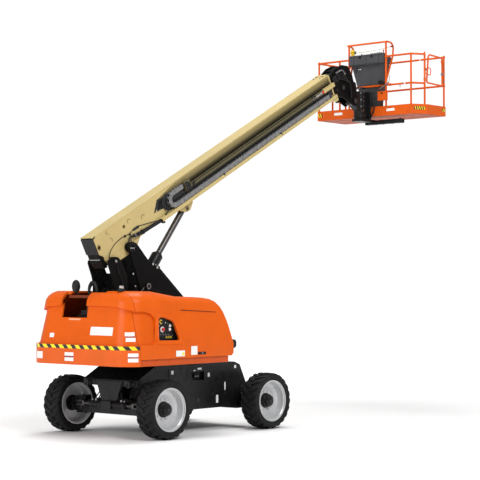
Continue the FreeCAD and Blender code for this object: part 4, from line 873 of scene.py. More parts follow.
# rear cover: wide blank plate right of the notch, small one on the left, faint strip under the notch
label(lb, T_RC, REAR, (-2.0, -0.470, 1.702), 0.500, 0.130)
label(lb, T_RC, REAR, (-2.0, 0.660, 1.618), 0.100, 0.068)
label(lb, T_RC, REAR, (-2.0, 0.180, 1.878), 0.27, 0.026, "label_faint")
lb.make("rear_labels", "turntable", "cast_orange")
lc = Build()


def pair(b, tr, d, c, w=0.19, h=0.072):
    """Two blank plates with a dark red band between."""
    x, y, z = c
    label(b, tr, d, (x, y, z + h * 0.72), w, h)
    label(b, tr, d, (x, y, z + h * 0.1), w, 0.026, "label_red")
    label(b, tr, d, (x, y, z - h * 0.55), w, h)


for dz, h_, m_ in ((0.0475, 0.060, "label_white"), (0.0075, 0.024, "label_red"), (-0.036, 0.060, "label_white")):
    for sh in (0.0, 0.010, 0.020, 0.030, 0.040, 0.050):
        if label(lc, T_RC, (1, 1.05, 0), (-1.912 - sh, -1.012 + sh, 1.616 + dz), 0.150, h_, m_):
            break
pair(lc, T_CW, REAR, (-2.1, 0.176, 1.285), 0.205, 0.060)
pair(lc, T_CW, (0.62, 0.78, 0), (-1.950, -1.108, 1.300), 0.160, 0.060)
label(lc, T_CW, (0.90, -0.30, 0), (-2.083, 0.895, 1.300), 0.19, 0.110)
lc.make("counterweight_labels", "turntable", "cast_orange")

# hoods: crease, recessed grip, bezel of the window, latch, labels, lower lines
for side, tr, node in ((-1, T_HR, "hood_right"), (1, T_HL, "hood_left")):
    b = Build()
    d = (0, -side, 0)
    y = side * 1.0
    body = NODE_BODY[node]
    if side < 0:
        # bezel round the window: raised ring of the hood's own colour, dark inside edge
        win = [(-1.405, 1.905), (-1.318, 1.925), (-1.085, 1.858), (-1.052, 1.810), (-0.975, 1.545), (-1.465, 1.556)]

        def grow(pts, g):
            out = []
            m = len(pts)
            for i in range(m):
                p0, p1, p2 = pts[i - 1], pts[i], pts[(i + 1) % m]
                a1 = Vector((p1[0] - p0[0], p1[1] - p0[1])).normalized()
                a2 = Vector((p2[0] - p1[0], p2[1] - p1[1])).normalized()
                n1, n2 = Vector((a1.y, -a1.x)), Vector((a2.y, -a2.x))
                bs = (n1 + n2)
                bs = bs / max(0.3, bs.dot(n1))
                out.append((p1[0] - bs.x * g, p1[1] - bs.y * g))
            return out

        def rounded(pts, r, k=4):
            out = []
            m = len(pts)
            for i in range(m):
                p0, p1, p2 = Vector(pts[i - 1]), Vector(pts[i]), Vector(pts[(i + 1) % m])
                a1, a2 = (p0 - p1), (p2 - p1)
                q = min(r, a1.length * 0.45, a2.length * 0.45)
                s, e = p1 + a1.normalized() * q, p1 + a2.normalized() * q
                for j in range(k + 1):
                    t = j / k
                    out.append(tuple((s * (1 - t) + p1 * t) * (1 - t) + (p1 * (1 - t) + e * t) * t))
            return out
        rings = []
        for g, off in ((-0.062, 0.0005), (-0.056, 0.012), (-0.020, 0.0135), (-0.006, 0.010), (0.004, -0.002), (0.004, -0.045)):
            rr = rounded(grow(win, -g), 0.045)
            row = []
            for px, pz in rr:
                h = lay(tr, M(px, -2.0, pz), Vector((0, 1, 0)), 0.0)
                if h is None or h.y > -0.9:
                    # inside the window's opening: take the surface just above and below
                    cx, cz = -1.22, 1.73
                    for t in (0.06, 0.09, 0.12, 0.16):
                        vx, vz = px - cx, pz - cz
                        l = math.hypot(vx, vz)
                        h = lay(tr, M(px + vx / l * t, -2.0, pz + vz / l * t * 0 if False else pz), Vector((0, 1, 0)), 0.0)
                        if h is not None and h.y < -0.9:
                            h = Vector((px - X0, h.y, pz))
                            break
                if h is None or h.y > -0.9:
                    h = Vector((px - X0, -(1.200 - 0.188 * (pz - 1.48)), pz))
                row.append(Vector((px - X0, h.y - off, pz)))
            rings.append(row)
        m = len(rings[0])
        v = [p for r_ in rings for p in r_]
        f = []
        for i in range(len(rings) - 1):
            f += [(i * m + k, i * m + (k + 1) % m, (i + 1) * m + (k + 1) % m, (i + 1) * m + k) for k in range(m)]
        b.add(v, f, "orange_gloss", raw=True)
    # long shallow grip line under the roof: a dark orange band as painted shade in the pressed line, with a raised
    # strip of the hood's orange below it
    for x0, x1, z0, z1 in ((-0.88, -0.04, 2.026, 1.984),):
        patch(b, tr, d, [(x0, y, z0 - 0.012), (x1, y, z1 - 0.012), (x1 - 0.02, y, z1 + 0.004), (x0, y, z0 + 0.006)], "orange_shaded", 0.0010, 20, 1)
        patch(b, tr, d, [(x0 - 0.01, y, z0 - 0.020), (x1 - 0.03, y, z1 - 0.020), (x1, y, z1 - 0.012), (x0, y, z0 - 0.012)], "orange_gloss", 0.0035, 20, 1)
    # latch and labels on the lower front of the hood
    if side < 0:
        label(b, tr, d, (-0.672, y, 1.380), 0.145, 0.138)
        label(b, tr, d, (-0.990, y, 1.343), 0.195, 0.088, border="label_grey")
        label(b, tr, d, (-0.925, y, 1.335), 0.050, 0.045, "hazard_yellow", off=0.0024)
    else:
        label(b, tr, d, (-0.672, y, 1.380), 0.145, 0.138)
        label(b, tr, d, (-0.990, y, 1.343), 0.195, 0.088)
    b.make(node + "_trim", body, "hood_shell", bevel=0.0, angle=40)
    k = Build()
    yl = side * 1.2
    # latch: recessed paddle with its plate
    k.box(-0.585, -0.395, min(yl, yl + side * 0.004), max(yl, yl + side * 0.004), 1.312, 1.352, "black_plastic")
    k.prism([(-0.575, 1.317), (-0.405, 1.317), (-0.42, 1.347), (-0.55, 1.347)], "xz", yl + side * 0.004, yl + side * 0.014, "black_plastic")
    k.cyl((-0.49, yl + side * 0.014, 1.332), (-0.49, yl + side * 0.018, 1.332), 0.012, "zinc", n=20)
    if side < 0:
        # round sensor standing on the roof's rear edge
        q = lay(tr, M(-1.800, -0.690, 3.0), Vector((0, 0, -1)), 0.0)
        k.cyl((-1.800, -0.690, q.z - 0.004), (-1.800, -0.690, q.z + 0.034), 0.060, "black_plastic", n=40, r1=0.056)
        k.cyl((-1.800, -0.690, q.z + 0.034), (-1.800, -0.690, q.z + 0.046), 0.036, "black_plastic", n=32, r1=0.028)
    k.make(node + "_latch", body, "hood_shell", bevel=0.002, segs=2, angle=40)

# control panel behind the window
g = Build()
yp = -1.0625
g.prism([(-1.470, 1.515), (-0.965, 1.515), (-0.965, 1.945), (-1.435, 1.945), (-1.435, 1.76), (-1.470, 1.70)], "xz", yp, yp - 0.004, "black_plastic")
rnd = random.Random(3)
PN = yp - 0.004


def knob(x, z, r, h, mat, base="steel_dark"):
    g.cyl((x, PN, z), (x, PN - 0.003, z), r * 1.35, base, n=24)
    g.cyl((x, PN - 0.003, z), (x, PN - h, z), r, mat, r1=r * 0.85, n=24)


knob(-1.30, 1.845, 0.034, 0.010, "yellow_plastic")
g.cyl((-1.30, PN - 0.010, 1.845), (-1.30, PN - 0.020, 1.845), 0.020, "black_plastic", n=24)
g.cyl((-1.265, PN, 1.725), (-1.265, PN - 0.004, 1.725), 0.046, "label_white", n=28)
g.cyl((-1.265, PN - 0.004, 1.725), (-1.265, PN - 0.022, 1.725), 0.018, "red_plastic", n=24)
g.cyl((-1.265, PN - 0.022, 1.725), (-1.265, PN - 0.034, 1.725), 0.031, "red_plastic", r1=0.027, n=24)
for i, (x, z) in enumerate(((-1.405, 1.80), (-1.41, 1.74), (-1.415, 1.68), (-1.42, 1.62), (-1.355, 1.78), (-1.12, 1.60), (-1.07, 1.60), (-1.17, 1.60))):
    g.box(x - 0.016, x + 0.016, PN - 0.0015, PN, z - 0.014, z + 0.014, "hazard_yellow" if i != 4 else "label_white")
    g.box(x - 0.008, x + 0.008, PN - 0.002, PN, z - 0.006, z + 0.006, "black_plastic")
for i in range(6):
    x = -1.38 + 0.062 * i
    z = 1.655 - 0.004 * i
    g.cyl((x, PN, z), (x, PN - 0.006, z), 0.010, "zinc", n=6)
    g.cyl((x, PN - 0.006, z), (x, PN - 0.028, z - 0.006), 0.004, "zinc", n=10)
    g.ball((x, PN - 0.029, z - 0.007), 0.0055, "zinc", n=8)
for i in range(4):
    x = -1.20 + 0.05 * i
    knob(x, 1.83 - 0.014 * i, 0.010, 0.008, "green_plastic" if i % 2 else "label_white")
g.cyl((-1.10, PN, 1.725), (-1.10, PN - 0.006, 1.725), 0.030, "zinc", n=28)
g.cyl((-1.10, PN - 0.006, 1.725), (-1.10, PN - 0.008, 1.725), 0.025, "label_white", n=28)
g.box(-1.115, -1.065, PN - 0.002, PN, 1.765, 1.79, "label_white")
for x, z in ((-1.455, 1.53), (-0.98, 1.53), (-0.98, 1.93), (-1.42, 1.93)):
    g.bolt((x, PN, z), (0, -1, 0), r=0.006, h=0.004, mat="zinc")
g.make("ground_control_panel", "turntable", "black_plastic", bevel=0.001, segs=1, angle=40)

# machinery deck, inside of the channel: hoses, fittings and the tail bay seen through the notch
t = Build()
for k, (y0, y1) in enumerate(((0.10, 0.20), (0.02, 0.12), (-0.12, -0.02), (-0.2, -0.1))):
    t.tube([(-1.42, y0, 1.32), (-1.55, y0 * 1.3, 1.50), (-1.60, y1, 1.85), (-1.52, y1, 2.16), (-1.47, y0, 2.30), (-1.39, y0, 2.36)], 0.016, "rubber_hose", sub=6)
t.prism([(-1.66, 1.27), (-1.52, 1.27), (-1.52, 1.86), (-1.62, 1.86)], "xz", -0.33, 0.33, "black_satin")
for y in (-0.24, -0.08, 0.08, 0.24):
    t.prism([(-1.665, 1.30), (-1.655, 1.30), (-1.625, 1.84), (-1.635, 1.84)], "xz", y - 0.012, y + 0.012, "black_satin")
t.box(-1.80, -1.66, -0.05, 0.22, 1.87, 2.02, "black_satin")
for k in range(5):
    t.cyl((-1.80, -0.01 + 0.05 * k, 1.95), (-1.828, -0.01 + 0.05 * k, 1.95), 0.012, "zinc", n=6)
    t.tube([(-1.828, -0.01 + 0.05 * k, 1.95), (-1.86, -0.01 + 0.05 * k, 1.945), (-1.88, 0.01 + 0.05 * k, 1.90), (-1.87, 0.02 + 0.05 * k, 1.80)], 0.009, "rubber_hose", sub=5)
# beam across the notch and its bracket, in a dark orange: painted shade inside the notch
t.box(-1.90, -1.84, -0.11, 0.40, 2.215, 2.260, "orange_shaded")
t.prism([(-0.06, 1.91), (-0.02, 1.91), (-0.02, 2.20), (-0.06, 2.20)], "yz", -1.90, -1.84, "orange_shaded")
# mirror-like lamp and hose loop standing above the notch
t.cyl((-1.875, 0.19, 2.25), (-1.930, 0.195, 2.34), 0.012, "black_satin", n=12)
t.ball((-1.935, 0.195, 2.400), 0.068, "black_plastic", n=28, flat=1.55)
t.tube([(-1.78, 0.03, 2.20), (-1.80, 0.035, 2.36), (-1.79, 0.00, 2.455), (-1.78, -0.065, 2.455), (-1.77, -0.105, 2.36), (-1.76, -0.11, 2.20)], 0.024, "rubber_hose", n=14, sub=8)
t.tube([(-1.74, 0.07, 2.18), (-1.76, 0.075, 2.33), (-1.75, 0.04, 2.42), (-1.74, -0.03, 2.43), (-1.73, -0.075, 2.33), (-1.72, -0.09, 2.18)], 0.020, "rubber_hose", n=14, sub=8)
t.make("channel_fittings", "turntable", "black_paint", bevel=0.0012, segs=1, angle=40)

# engine block: head, belts and exhaust so that it reads as an engine when the hood is up
e = Build()
eb0, eb1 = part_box("engine_block")
ex0, ex1 = eb0.x + X0, eb1.x + X0
for k in range(4):
    x = ex0 + (ex1 - ex0) * (0.16 + 0.21 * k)
    e.box(x - 0.05, x + 0.05, eb0.y + 0.12, eb1.y - 0.10, eb1.z, eb1.z + 0.03, "engine_iron")
    e.cyl((x, eb1.y, eb0.z + 0.42), (x, eb1.y + 0.05, eb0.z + 0.42), 0.032, "grey_steel", n=20)
e.tube([(ex0 + 0.1, eb1.y + 0.05, eb0.z + 0.42), (ex1 - 0.1, eb1.y + 0.05, eb0.z + 0.42)], 0.042, "grey_steel", n=16)
e.cyl((ex1, (eb0.y + eb1.y) / 2, eb0.z + 0.22), (ex1 + 0.03, (eb0.y + eb1.y) / 2, eb0.z + 0.22), 0.11, "steel_dark", n=40)
e.cyl((ex1, (eb0.y + eb1.y) / 2, eb0.z + 0.45), (ex1 + 0.03, (eb0.y + eb1.y) / 2, eb0.z + 0.45), 0.06, "steel_dark", n=40)
for k in range(6):
    e.bolt((ex0 + 0.1 + 0.12 * k, eb1.y, eb0.z + 0.10), (0, 1, 0), r=0.010, h=0.008, mat="zinc")
e.make("engine_details", "turntable", "engine_iron", bevel=0.003, segs=1, angle=40)

# uprights and rear posts: bosses, bolts, labels, cables
u = Build()
for s in (-1, 1):
    yo = s * 0.246
    for i in range(8):
        an = 2 * math.pi * i / 8
        u.bolt((-1.130 + 0.062 * math.cos(an), s * 0.262, 3.030 + 0.062 * math.sin(an)), (0, s, 0), r=0.0075, h=0.006, mat="steel_dark")
    u.box(-1.175, -1.085, min(s * 0.262, s * 0.268), max(s * 0.262, s * 0.268), 3.005, 3.025, "zinc")
    u.bolt((-1.165, s * 0.268, 3.015), (0, s, 0), r=0.008, h=0.006, mat="zinc")
    u.cyl((-0.760, s * 0.268, 2.400), (-0.760, s * 0.276, 2.400), 0.050, "grey_steel", n=40)
    u.cyl((-0.760, s * 0.276, 2.400), (-0.760, s * 0.283, 2.400), 0.030, "black_gloss", n=32)
    for i in range(6):
        an = 2 * math.pi * (i + 0.5) / 6
        u.bolt((-0.760 + 0.039 * math.cos(an), s * 0.276, 2.400 + 0.039 * math.sin(an)), (0, s, 0), r=0.0045, h=0.003, mat="zinc", washer=False)
    u.cyl((-1.495, s * 0.260, 2.800), (-1.495, s * 0.268, 2.800), 0.030, "steel_dark", n=28)
    u.bolt((-1.495, s * 0.268, 2.800), (0, s, 0), r=0.013, h=0.009, mat="zinc")
    # welded foot gussets with bolts
    for x in (-0.48, -0.30, -0.10, 0.08, -1.36, -1.20, -1.02):
        u.bolt((x, s * 0.305, 1.276), (0, 0, 1), r=0.014, h=0.011, mat="zinc")
    # edge stiffener along the sloping front edge
    u.tube([(0.085, s * 0.235, 2.185), (-0.10, s * 0.235, 2.345), (-0.46, s * 0.235, 2.655)], 0.012, "black_gloss", n=8)
    # clamps and cables
    for z, x in ((2.45, -1.34), (2.62, -1.43)):
        u.box(x - 0.02, x + 0.02, min(s * 0.244, s * 0.262), max(s * 0.244, s * 0.262), z - 0.012, z + 0.012, "black_plastic")
u.tube([(-1.30, -0.262, 2.36), (-1.345, -0.262, 2.46), (-1.43, -0.262, 2.62), (-1.455, -0.262, 2.72)], 0.0055, "rubber_hose", sub=5)
u.box(-1.402, -1.306, -0.2455, -0.244, 2.358, 2.408, "label_white")
u.bolt((-1.09, -0.244, 2.60), (0, -1, 0), r=0.012, h=0.008, mat="zinc")
u.bolt((-1.04, -0.246, 2.40), (0, -1, 0), r=0.010, h=0.008, mat="zinc")
u.tube([(-0.93, -0.252, 2.31), (-0.88, -0.252, 2.345), (-0.845, -0.252, 2.385)], 0.0035, "zinc", n=8, sub=4)
# cheek that runs from the pin boss down the rear edge
for s in (-1, 1):
    u.prism([(-1.212, 3.075), (-1.150, 2.975), (-0.945, 2.508), (-0.885, 2.375), (-0.800, 2.375), (-0.980, 2.90), (-1.10, 3.06)], "xz", s * 0.2140, s * 0.2455, "black_deep")
# light fittings on the sloping edge beside the cylinder
for x, z in ((-0.62, 2.745), (-0.52, 2.69)):
    u.box(x - 0.045, x + 0.035, -0.258, -0.212, z - 0.010, z + 0.040, "black_plastic")
    u.cyl((x + 0.035, -0.235, z + 0.015), (x + 0.048, -0.235, z + 0.015), 0.016, "lens_clear", n=20)
    u.box(x - 0.045, x - 0.01, -0.2605, -0.258, z, z + 0.03, "label_grey")
# guard plate joining the far post and upright, with its opening under the tail
for x0, x1, z0, z1 in ((-1.560, -1.330, 2.10, 2.80), (-1.330, -0.700, 2.10, 2.609), (-1.120, -0.640, 2.609, 2.965), (-1.330, -1.120, 2.733, 2.862)):
    u.box(x0, x1, 0.2030, 0.2095, z0, z1, "black_deep")
u.make("upright_details", "turntable", "black_paint", bevel=0.001, segs=1, angle=40)

# ---------------------------------------------------------------- boom
detail("boom_base_tube", "cream_gloss", 0.010, segs=3, angle=40)
detail("boom_end_cap", "black_plastic", 0.008, segs=3, angle=40)
detail("lift_bracket", "cream_gloss", 0.004)
detail("track_tray", "cream_gloss", 0.003)
detail("boom_mid_tube", "cream_gloss", 0.006, angle=40)
detail("boom_fly_tube", "cream_gloss", 0.006, angle=40)
detail("push_tube", "tan_tube_shaded", 0.006, angle=40)
detail("boom_nose", "black_deep", 0.005)
detail("rotator_housing", "black_gloss", 0.004)
detail("platform_mount", "black_gloss", 0.004)

bb = Build(BM)
YS = -0.1405            # right face of the base tube
# trough on the right side: a flat black sheet behind the push tube and the carrier as painted shade for the trough's
# inside, and above it a sheet whose cream darkens towards the trough as painted shade
bb.prism([(0.972, 0.382), (0.818, 0.2165), (0.865, 0.2100), (0.885, 0.240), (0.905, 0.238), (0.895, 0.205), (1.060, 0.190), (1.130, 0.120), (1.180, 0.088), (6.19, 0.088), (6.19, 0.330), (1.35, 0.330), (1.00, 0.386)], "xz", YS, YS - 0.0016, "hazard_black_and_shade")
bb.prism([(1.02, 0.386), (1.62, 0.4785), (6.19, 0.4785), (6.19, 0.288), (1.20, 0.288)], "xz", YS, YS - 0.0022, "trough_shade")
# collars and wear-pad blocks at the outer end
for w0, w1 in ((0.006, 0.020), (0.479, 0.493)):
    bb.box(6.135, 6.20, -0.120, 0.120, w0, w1, "cream_gloss")
for w in (0.145, 0.40):
    for u in (6.06, 6.14):
        for s in (-1, 1):
            if s < 0 and w < 0.38:
                continue
            bb.bolt((u, s * 0.140, w), (0, s, 0), r=0.010, h=0.008, mat="black_gloss")
for u in (6.03, 6.11):
    for y in (-0.075, 0.075):
        bb.bolt((u, y, 0.479), (-ST, 0, CT), r=0.010, h=0.008, mat="black_gloss")
        bb.bolt((u, y, 0.020), (ST, 0, -CT), r=0.010, h=0.008, mat="black_gloss")
# holes and slots near the tail: black discs as painted shade for their insides, with cream rims
def hole(u, w, r, y=YS, s=-1):
    bb.cyl((u, y, w), (u, y + s * 0.0010, w), r, "hazard_black_and_shade", n=28)
    bb.cyl((u, y, w), (u, y + s * 0.0022, w), r + 0.006, "cream_side_shaded", n=28, inner=r)


for s, y in ((-1, YS), (1, 0.1405)):
    hole(-0.561, 0.282, 0.034, y, s)
    hole(-0.561, 0.262, 0.034, y, s)
    hole(0.0865, 0.328, 0.026, y, s)
    hole(0.098, 0.332, 0.022, y, s)
    for u, w, a0, r0 in ((-0.283, 0.414, 1.9, 0.034), (-0.2725, 0.264, 5.1, 0.034), (0.234, 0.354, 0.5, 0.036), (0.554, 0.273, 0.3, 0.042)):
        # formed half-round bosses, drawn as darker cream half-rings: painted shade along one side of each
        pts = [(u + r0 * math.cos(a0 + t * math.pi * 1.0 / 10), y + s * 0.0015, w + r0 * math.sin(a0 + t * math.pi * 1.0 / 10)) for t in range(11)]
        bb.tube(pts, 0.0052, "cream_shade", n=6)
    # long slot with rubber grommet
    sl = [(0.262 + 0.120 * t, 0.186 - 0.004 * t) for t in (0, 1)]
    pts = []
    for k in range(9):
        an = math.pi / 2 + math.pi * k / 8
        pts.append((sl[0][0] + 0.022 * math.cos(an), sl[0][1] + 0.022 * math.sin(an)))
    for k in range(9):
        an = -math.pi / 2 + math.pi * k / 8
        pts.append((sl[1][0] + 0.022 * math.cos(an), sl[1][1] + 0.022 * math.sin(an)))
    bb.prism(pts, "xz", y, y + s * 0.003, "hazard_black_and_shade")
    # main pin keeper on the hinge lug
    bb.cyl((0, s * 0.160, 0), (0, s * 0.168, 0), 0.070, "cream_gloss", n=40, inner=0.047)
# seam welds along the tube's lower corners
for s in (-1, 1):
    bb.tube([(-0.52, s * 0.1385, 0.0325), (6.19, s * 0.1385, 0.0325)], 0.0035, "cream_side_shaded", n=6)
    bb.tube([(-0.55, s * 0.1385, 0.4665), (6.19, s * 0.1385, 0.4665)], 0.0035, "cream_side_shaded", n=6)
# plates under the tail: rollers and tail bracket behind the cap
bb.prism([(-0.6150, 0.176), (-0.5400, 0.104), (-0.5400, -0.030), (-0.5200, -0.095), (-0.5950, -0.080), (-0.6150, 0.040)], "xz", -0.128, 0.128, "black_deep")
bb.box(-0.6180, -0.6150, -0.120, 0.120, 0.078, 0.088, "label_grey")
bb.make("boom_base_details", "boom_base", "cream_paint", bevel=0.0012, segs=1, angle=40)

# black end fitting over the tail: cap lips, screws
tc = Build(BM)
for s in (-1, 1):
    tc.prism([(-0.6125, 0.4785), (-0.546, 0.4785), (-0.600, 0.444), (-0.6125, 0.444)], "xz", s * 0.1402, s * 0.1440, "black_plastic")
for y in (-0.11, 0.11):
    for w in (0.20, 0.43):
        tc.bolt((-0.627, y, w), (-CT, 0, -ST), r=0.009, h=0.006, mat="steel_dark")
tc.make("tail_fitting", "boom_base", "black_plastic", bevel=0.003, segs=2, angle=40)

# hoses and cables at the tail
hz = Build(BM)
A = lambda x, z: ((x - PX) * CT + (z - PZ) * ST, -(x - PX) * ST + (z - PZ) * CT)
# thin cable sweeping up the side
hz.tube([(-0.517, -0.166, -0.150), (-0.517, -0.166, -0.068), (-0.4234, -0.160, 0.0754), (-0.330, -0.150, 0.135), (-0.2144, -0.148, 0.1746), (-0.08, -0.148, 0.190), (0.0457, -0.148, 0.1861), (0.1514, -0.148, 0.1724), (0.262, -0.150, 0.198), (0.36, -0.150, 0.200), (0.4752, -0.150, 0.1673), (0.67, -0.152, 0.118), (0.8708, -0.160, 0.0647), (0.98, -0.175, 0.05)], 0.0058, "rubber_hose", sub=6)
hz.box(0.020, 0.048, -0.158, -0.141, 0.165, 0.200, "black_gloss")
hz.box(0.135, 0.160, -0.158, -0.141, 0.140, 0.182, "black_gloss")
# bundle from the turntable round to the track
for k in range(2):
    o = 0.020 * k
    hz.tube([(0.005 + 3.2 * o, -0.190, -0.120), (0.015 + 3.0 * o, -0.188, -0.02), (0.045 + 2.6 * o, -0.180, 0.075), (0.110 + 2.0 * o, -0.172, 0.128 - o * 0.5), (0.22 + o, -0.168, 0.118 - o), (0.42, -0.168, 0.098 - o), (0.70, -0.172, 0.082 - o), (0.93, -0.180, 0.072 - o)], 0.0095, "rubber_hose", sub=7)
for k in range(2):
    o = 0.018 * k
    hz.tube([(0.16, -0.176, 0.118 - o), (0.30, -0.186, 0.090 - o), (0.50, -0.184, 0.070 - o), (0.72, -0.186, 0.058 - o), (0.93, -0.190, 0.050 - o)], 0.0095, "rubber_hose", sub=7)
hz.box(0.400, 0.425, -0.196, -0.141, 0.040, 0.112, "black_gloss")
hz.box(0.900, 0.935, -0.205, -0.141, -0.012, 0.078, "black_gloss")
hz.box(0.215, 0.235, -0.196, -0.141, 0.072, 0.132, "grey_steel")
hz.tube([(0.93, -0.182, 0.050), (1.00, -0.182, 0.075), (1.08, -0.180, 0.115), (1.16, -0.178, 0.125)], 0.0105, "rubber_hose", sub=6)
for k, (r0, mt) in enumerate(((0.150, "rubber_hose"), (0.172, "grey_dark"), (0.194, "rubber_hose"), (0.216, "grey_dark"))):
    pts = []
    for j in range(9):
        an = math.radians(100 + 15 * j)
        pts.append((1.262 + r0 * math.cos(an), -0.150 - 0.004 * k, 0.235 + r0 * 0.72 * math.sin(an)))
    hz.tube(pts, 0.0085, mt, n=8, sub=3)
for u in (0.930, 0.965, 1.000):
    hz.prism([(u, 0.225), (u + 0.016, 0.225), (u + 0.085, 0.345), (u + 0.069, 0.345)], "xz", -0.1425, -0.150, "black_gloss")
hz.make("boom_hoses", "boom_base", "black_plastic", bevel=0.0)

# tray edge screws, stiffeners and the black clips seen on its lip
tr_ = Build(BM)
for k in range(14):
    u = 1.0 + 0.385 * k
    tr_.bolt((u, -0.224, 0.045), (0, -1, 0), r=0.0055, h=0.004, mat="zinc", washer=False)
for u in (2.62, 4.36):
    tr_.box(u - 0.012, u + 0.012, -0.2265, -0.190, 0.060, 0.100, "black_gloss")
tr_.prism([(6.05, 0.020), (6.20, 0.020), (6.20, -0.030), (6.10, -0.030)], "xz", -0.224, -0.150, "cream_gloss")
tr_.box(6.155, 6.198, -0.2235, -0.16, -0.075, -0.028, "black_plastic")
tr_.make("tray_details", "boom_base", "cream_paint", bevel=0.0015, segs=1, angle=40)


# cable carrier: linked plates in three runs, cross bars and the hoses inside
def carrier_line():
    """Centre line of the carrier, from the lower run's outer end, round the loop, to the upper run's end."""
    out = []
    u = 6.035
    step = 0.070
    while u > 1.305:
        out.append((u, 0.131, 0.0))
        u -= step
    r = 0.106
    c = (1.305, 0.131 + r)
    L = math.pi * r
    k = int(L / step)
    for i in range(1, k + 1):
        an = -math.pi / 2 - math.pi * i / (k + 1)
        out.append((c[0] + r * math.cos(an), c[1] + r * math.sin(an), -(math.pi * i / (k + 1))))
    u = 1.305
    while u < 1.62:
        out.append((u, 0.131 + 2 * r, -math.pi))
        u += step
    return out


cc = Build(BM)
line = carrier_line()
for i in range(len(line) - 1):
    (u0, w0, a0), (u1, w1, a1) = line[i], line[i + 1]
    du, dw = u1 - u0, w1 - w0
    l = math.hypot(du, dw)
    du, dw = du / l, dw / l
    nu, nw = -dw, du
    flip = 1.0
    hh = 0.0385
    for s, y in ((-1, -0.2075), (1, -0.154)):
        yo = y if i % 2 else y + (0.0035 if s < 0 else -0.0035)
        q = []
        for a, b in ((-0.006, -hh * 0.72), (0.006, -hh), (l - 0.010, -hh), (l + 0.004, -hh * 0.72), (l + 0.004, hh * 0.72), (l - 0.010, hh), (0.006, hh), (-0.006, hh * 0.72)):
            q.append((u0 + du * a + nu * b, w0 + dw * a + nw * b))
        cc.prism(q, "xz", yo, yo + (0.0034 if s < 0 else -0.0034), "chain_grey")
        # pin and stop boss
        cc.cyl((u0 + du * 0.012, yo, w0 + dw * 0.012), (u0 + du * 0.012, yo - s * -0.0015 if s > 0 else yo - 0.0018, w0 + dw * 0.012), 0.0125, "chain_grey", n=10)
    # cross bars, top and bottom
    for b in (-hh + 0.003, hh - 0.003):
        cu, cw = u0 + du * l * 0.5 + nu * b, w0 + dw * l * 0.5 + nw * b
        q = [(cu - du * 0.010 - nu * 0.003, cw - dw * 0.010 - nw * 0.003), (cu + du * 0.010 - nu * 0.003, cw + dw * 0.010 - nw * 0.003),
             (cu + du * 0.010 + nu * 0.003, cw + dw * 0.010 + nw * 0.003), (cu - du * 0.010 + nu * 0.003, cw - dw * 0.010 + nw * 0.003)]
        cc.prism(q, "xz", -0.2035, -0.157, "chain_grey")
o = cc.make("cable_carrier_links", "boom_base", "black_plastic", bevel=0.0)
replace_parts(o, "cable_carrier")
ch = Build(BM)
for k in range(4):
    y = -0.196 + 0.011 * k
    off = -0.016 + 0.010 * (k % 3)
    pts = [(6.03, y, 0.131 + off)]
    for j in range(24):
        pts.append((6.03 - (6.03 - 1.305) * (j + 1) / 24, y, 0.131 + off))
    for j in range(1, 10):
        an = -math.pi / 2 - math.pi * j / 10
        pts.append((1.305 + (0.106 - off) * math.cos(an), y, 0.237 + (0.106 - off) * math.sin(an)))
    pts += [(1.305, y, 0.343 - off), (1.62, y, 0.343 - off)]
    ch.tube(pts, 0.0085, "rubber_hose", n=8)
# end brackets of the carrier
ch.box(5.99, 6.05, -0.2115, -0.1505, 0.088, 0.172, "steel_dark")
ch.make("carrier_hoses", "boom_base", "black_plastic", bevel=0.0)

# push tube: bracket with holes, clamp ring and fitting, an end in the boom's cream, and dark strips along its edges as
# painted shade
pt = Build(BM)
pt.prism([(1.655, 0.232), (1.775, 0.232), (1.775, 0.314), (1.715, 0.380), (1.655, 0.380)], "xz", -0.2085, -0.2125, "black_gloss")
for u, w, r in ((1.690, 0.335, 0.016), (1.690, 0.268, 0.016), (1.742, 0.268, 0.011)):
    pt.cyl((u, -0.2125, w), (u, -0.2165, w), r, "steel_dark", n=20)
pt.prism([(1.80, 0.236), (1.865, 0.236), (1.905, 0.304), (1.84, 0.304)], "xz", -0.2025, -0.2065, "black_gloss")
for u in (5.505, 5.575):
    pt.box(u - 0.016, u + 0.016, -0.208, -0.1585, 0.226, 0.314, "black_gloss")
    pt.bolt((u, -0.208, 0.27), (0, -1, 0), r=0.010, h=0.006, mat="zinc")
pt.cyl((5.60, -0.2065, 0.272), (5.80, -0.2065, 0.272), 0.016, "zinc", n=20)
pt.cyl((5.64, -0.2065, 0.272), (5.67, -0.2065, 0.272), 0.022, "zinc", n=6)
pt.cyl((5.74, -0.2065, 0.272), (5.77, -0.2065, 0.272), 0.022, "zinc", n=6)
pt.cyl((5.80, -0.2065, 0.272), (5.86, -0.2065, 0.272), 0.018, "red_plastic", n=16)
pt.box(5.88, 6.235, -0.2045, -0.2020, 0.236, 0.304, "cream_gloss")
pt.box(5.88, 6.235, -0.2020, -0.1600, 0.308, 0.3105, "cream_gloss")
# dark strips along the push tube's upper and lower edges: painted shade, as on a round tube
for w0, w1 in ((0.2325, 0.250), (0.286, 0.3075)):
    pt.box(1.80, 5.48, -0.2028, -0.2018, w0, w1, "tan_edge_shade")
pt.make("push_tube_details", "boom_mid", "tan_paint", bevel=0.0015, segs=1, angle=40)

# mid and fly tubes: wear pads showing at their ends
mf = Build(BM)
for w in (0.453, 0.040):
    for y in (-0.07, 0.07):
        mf.box(6.205, 6.255, y - 0.028, y + 0.028, w - (0.0 if w > 0.2 else 0.0), w + 0.008, "black_plastic")
mf.make("mid_wear_pads", "boom_mid", "cream_paint", bevel=0.001, segs=1)

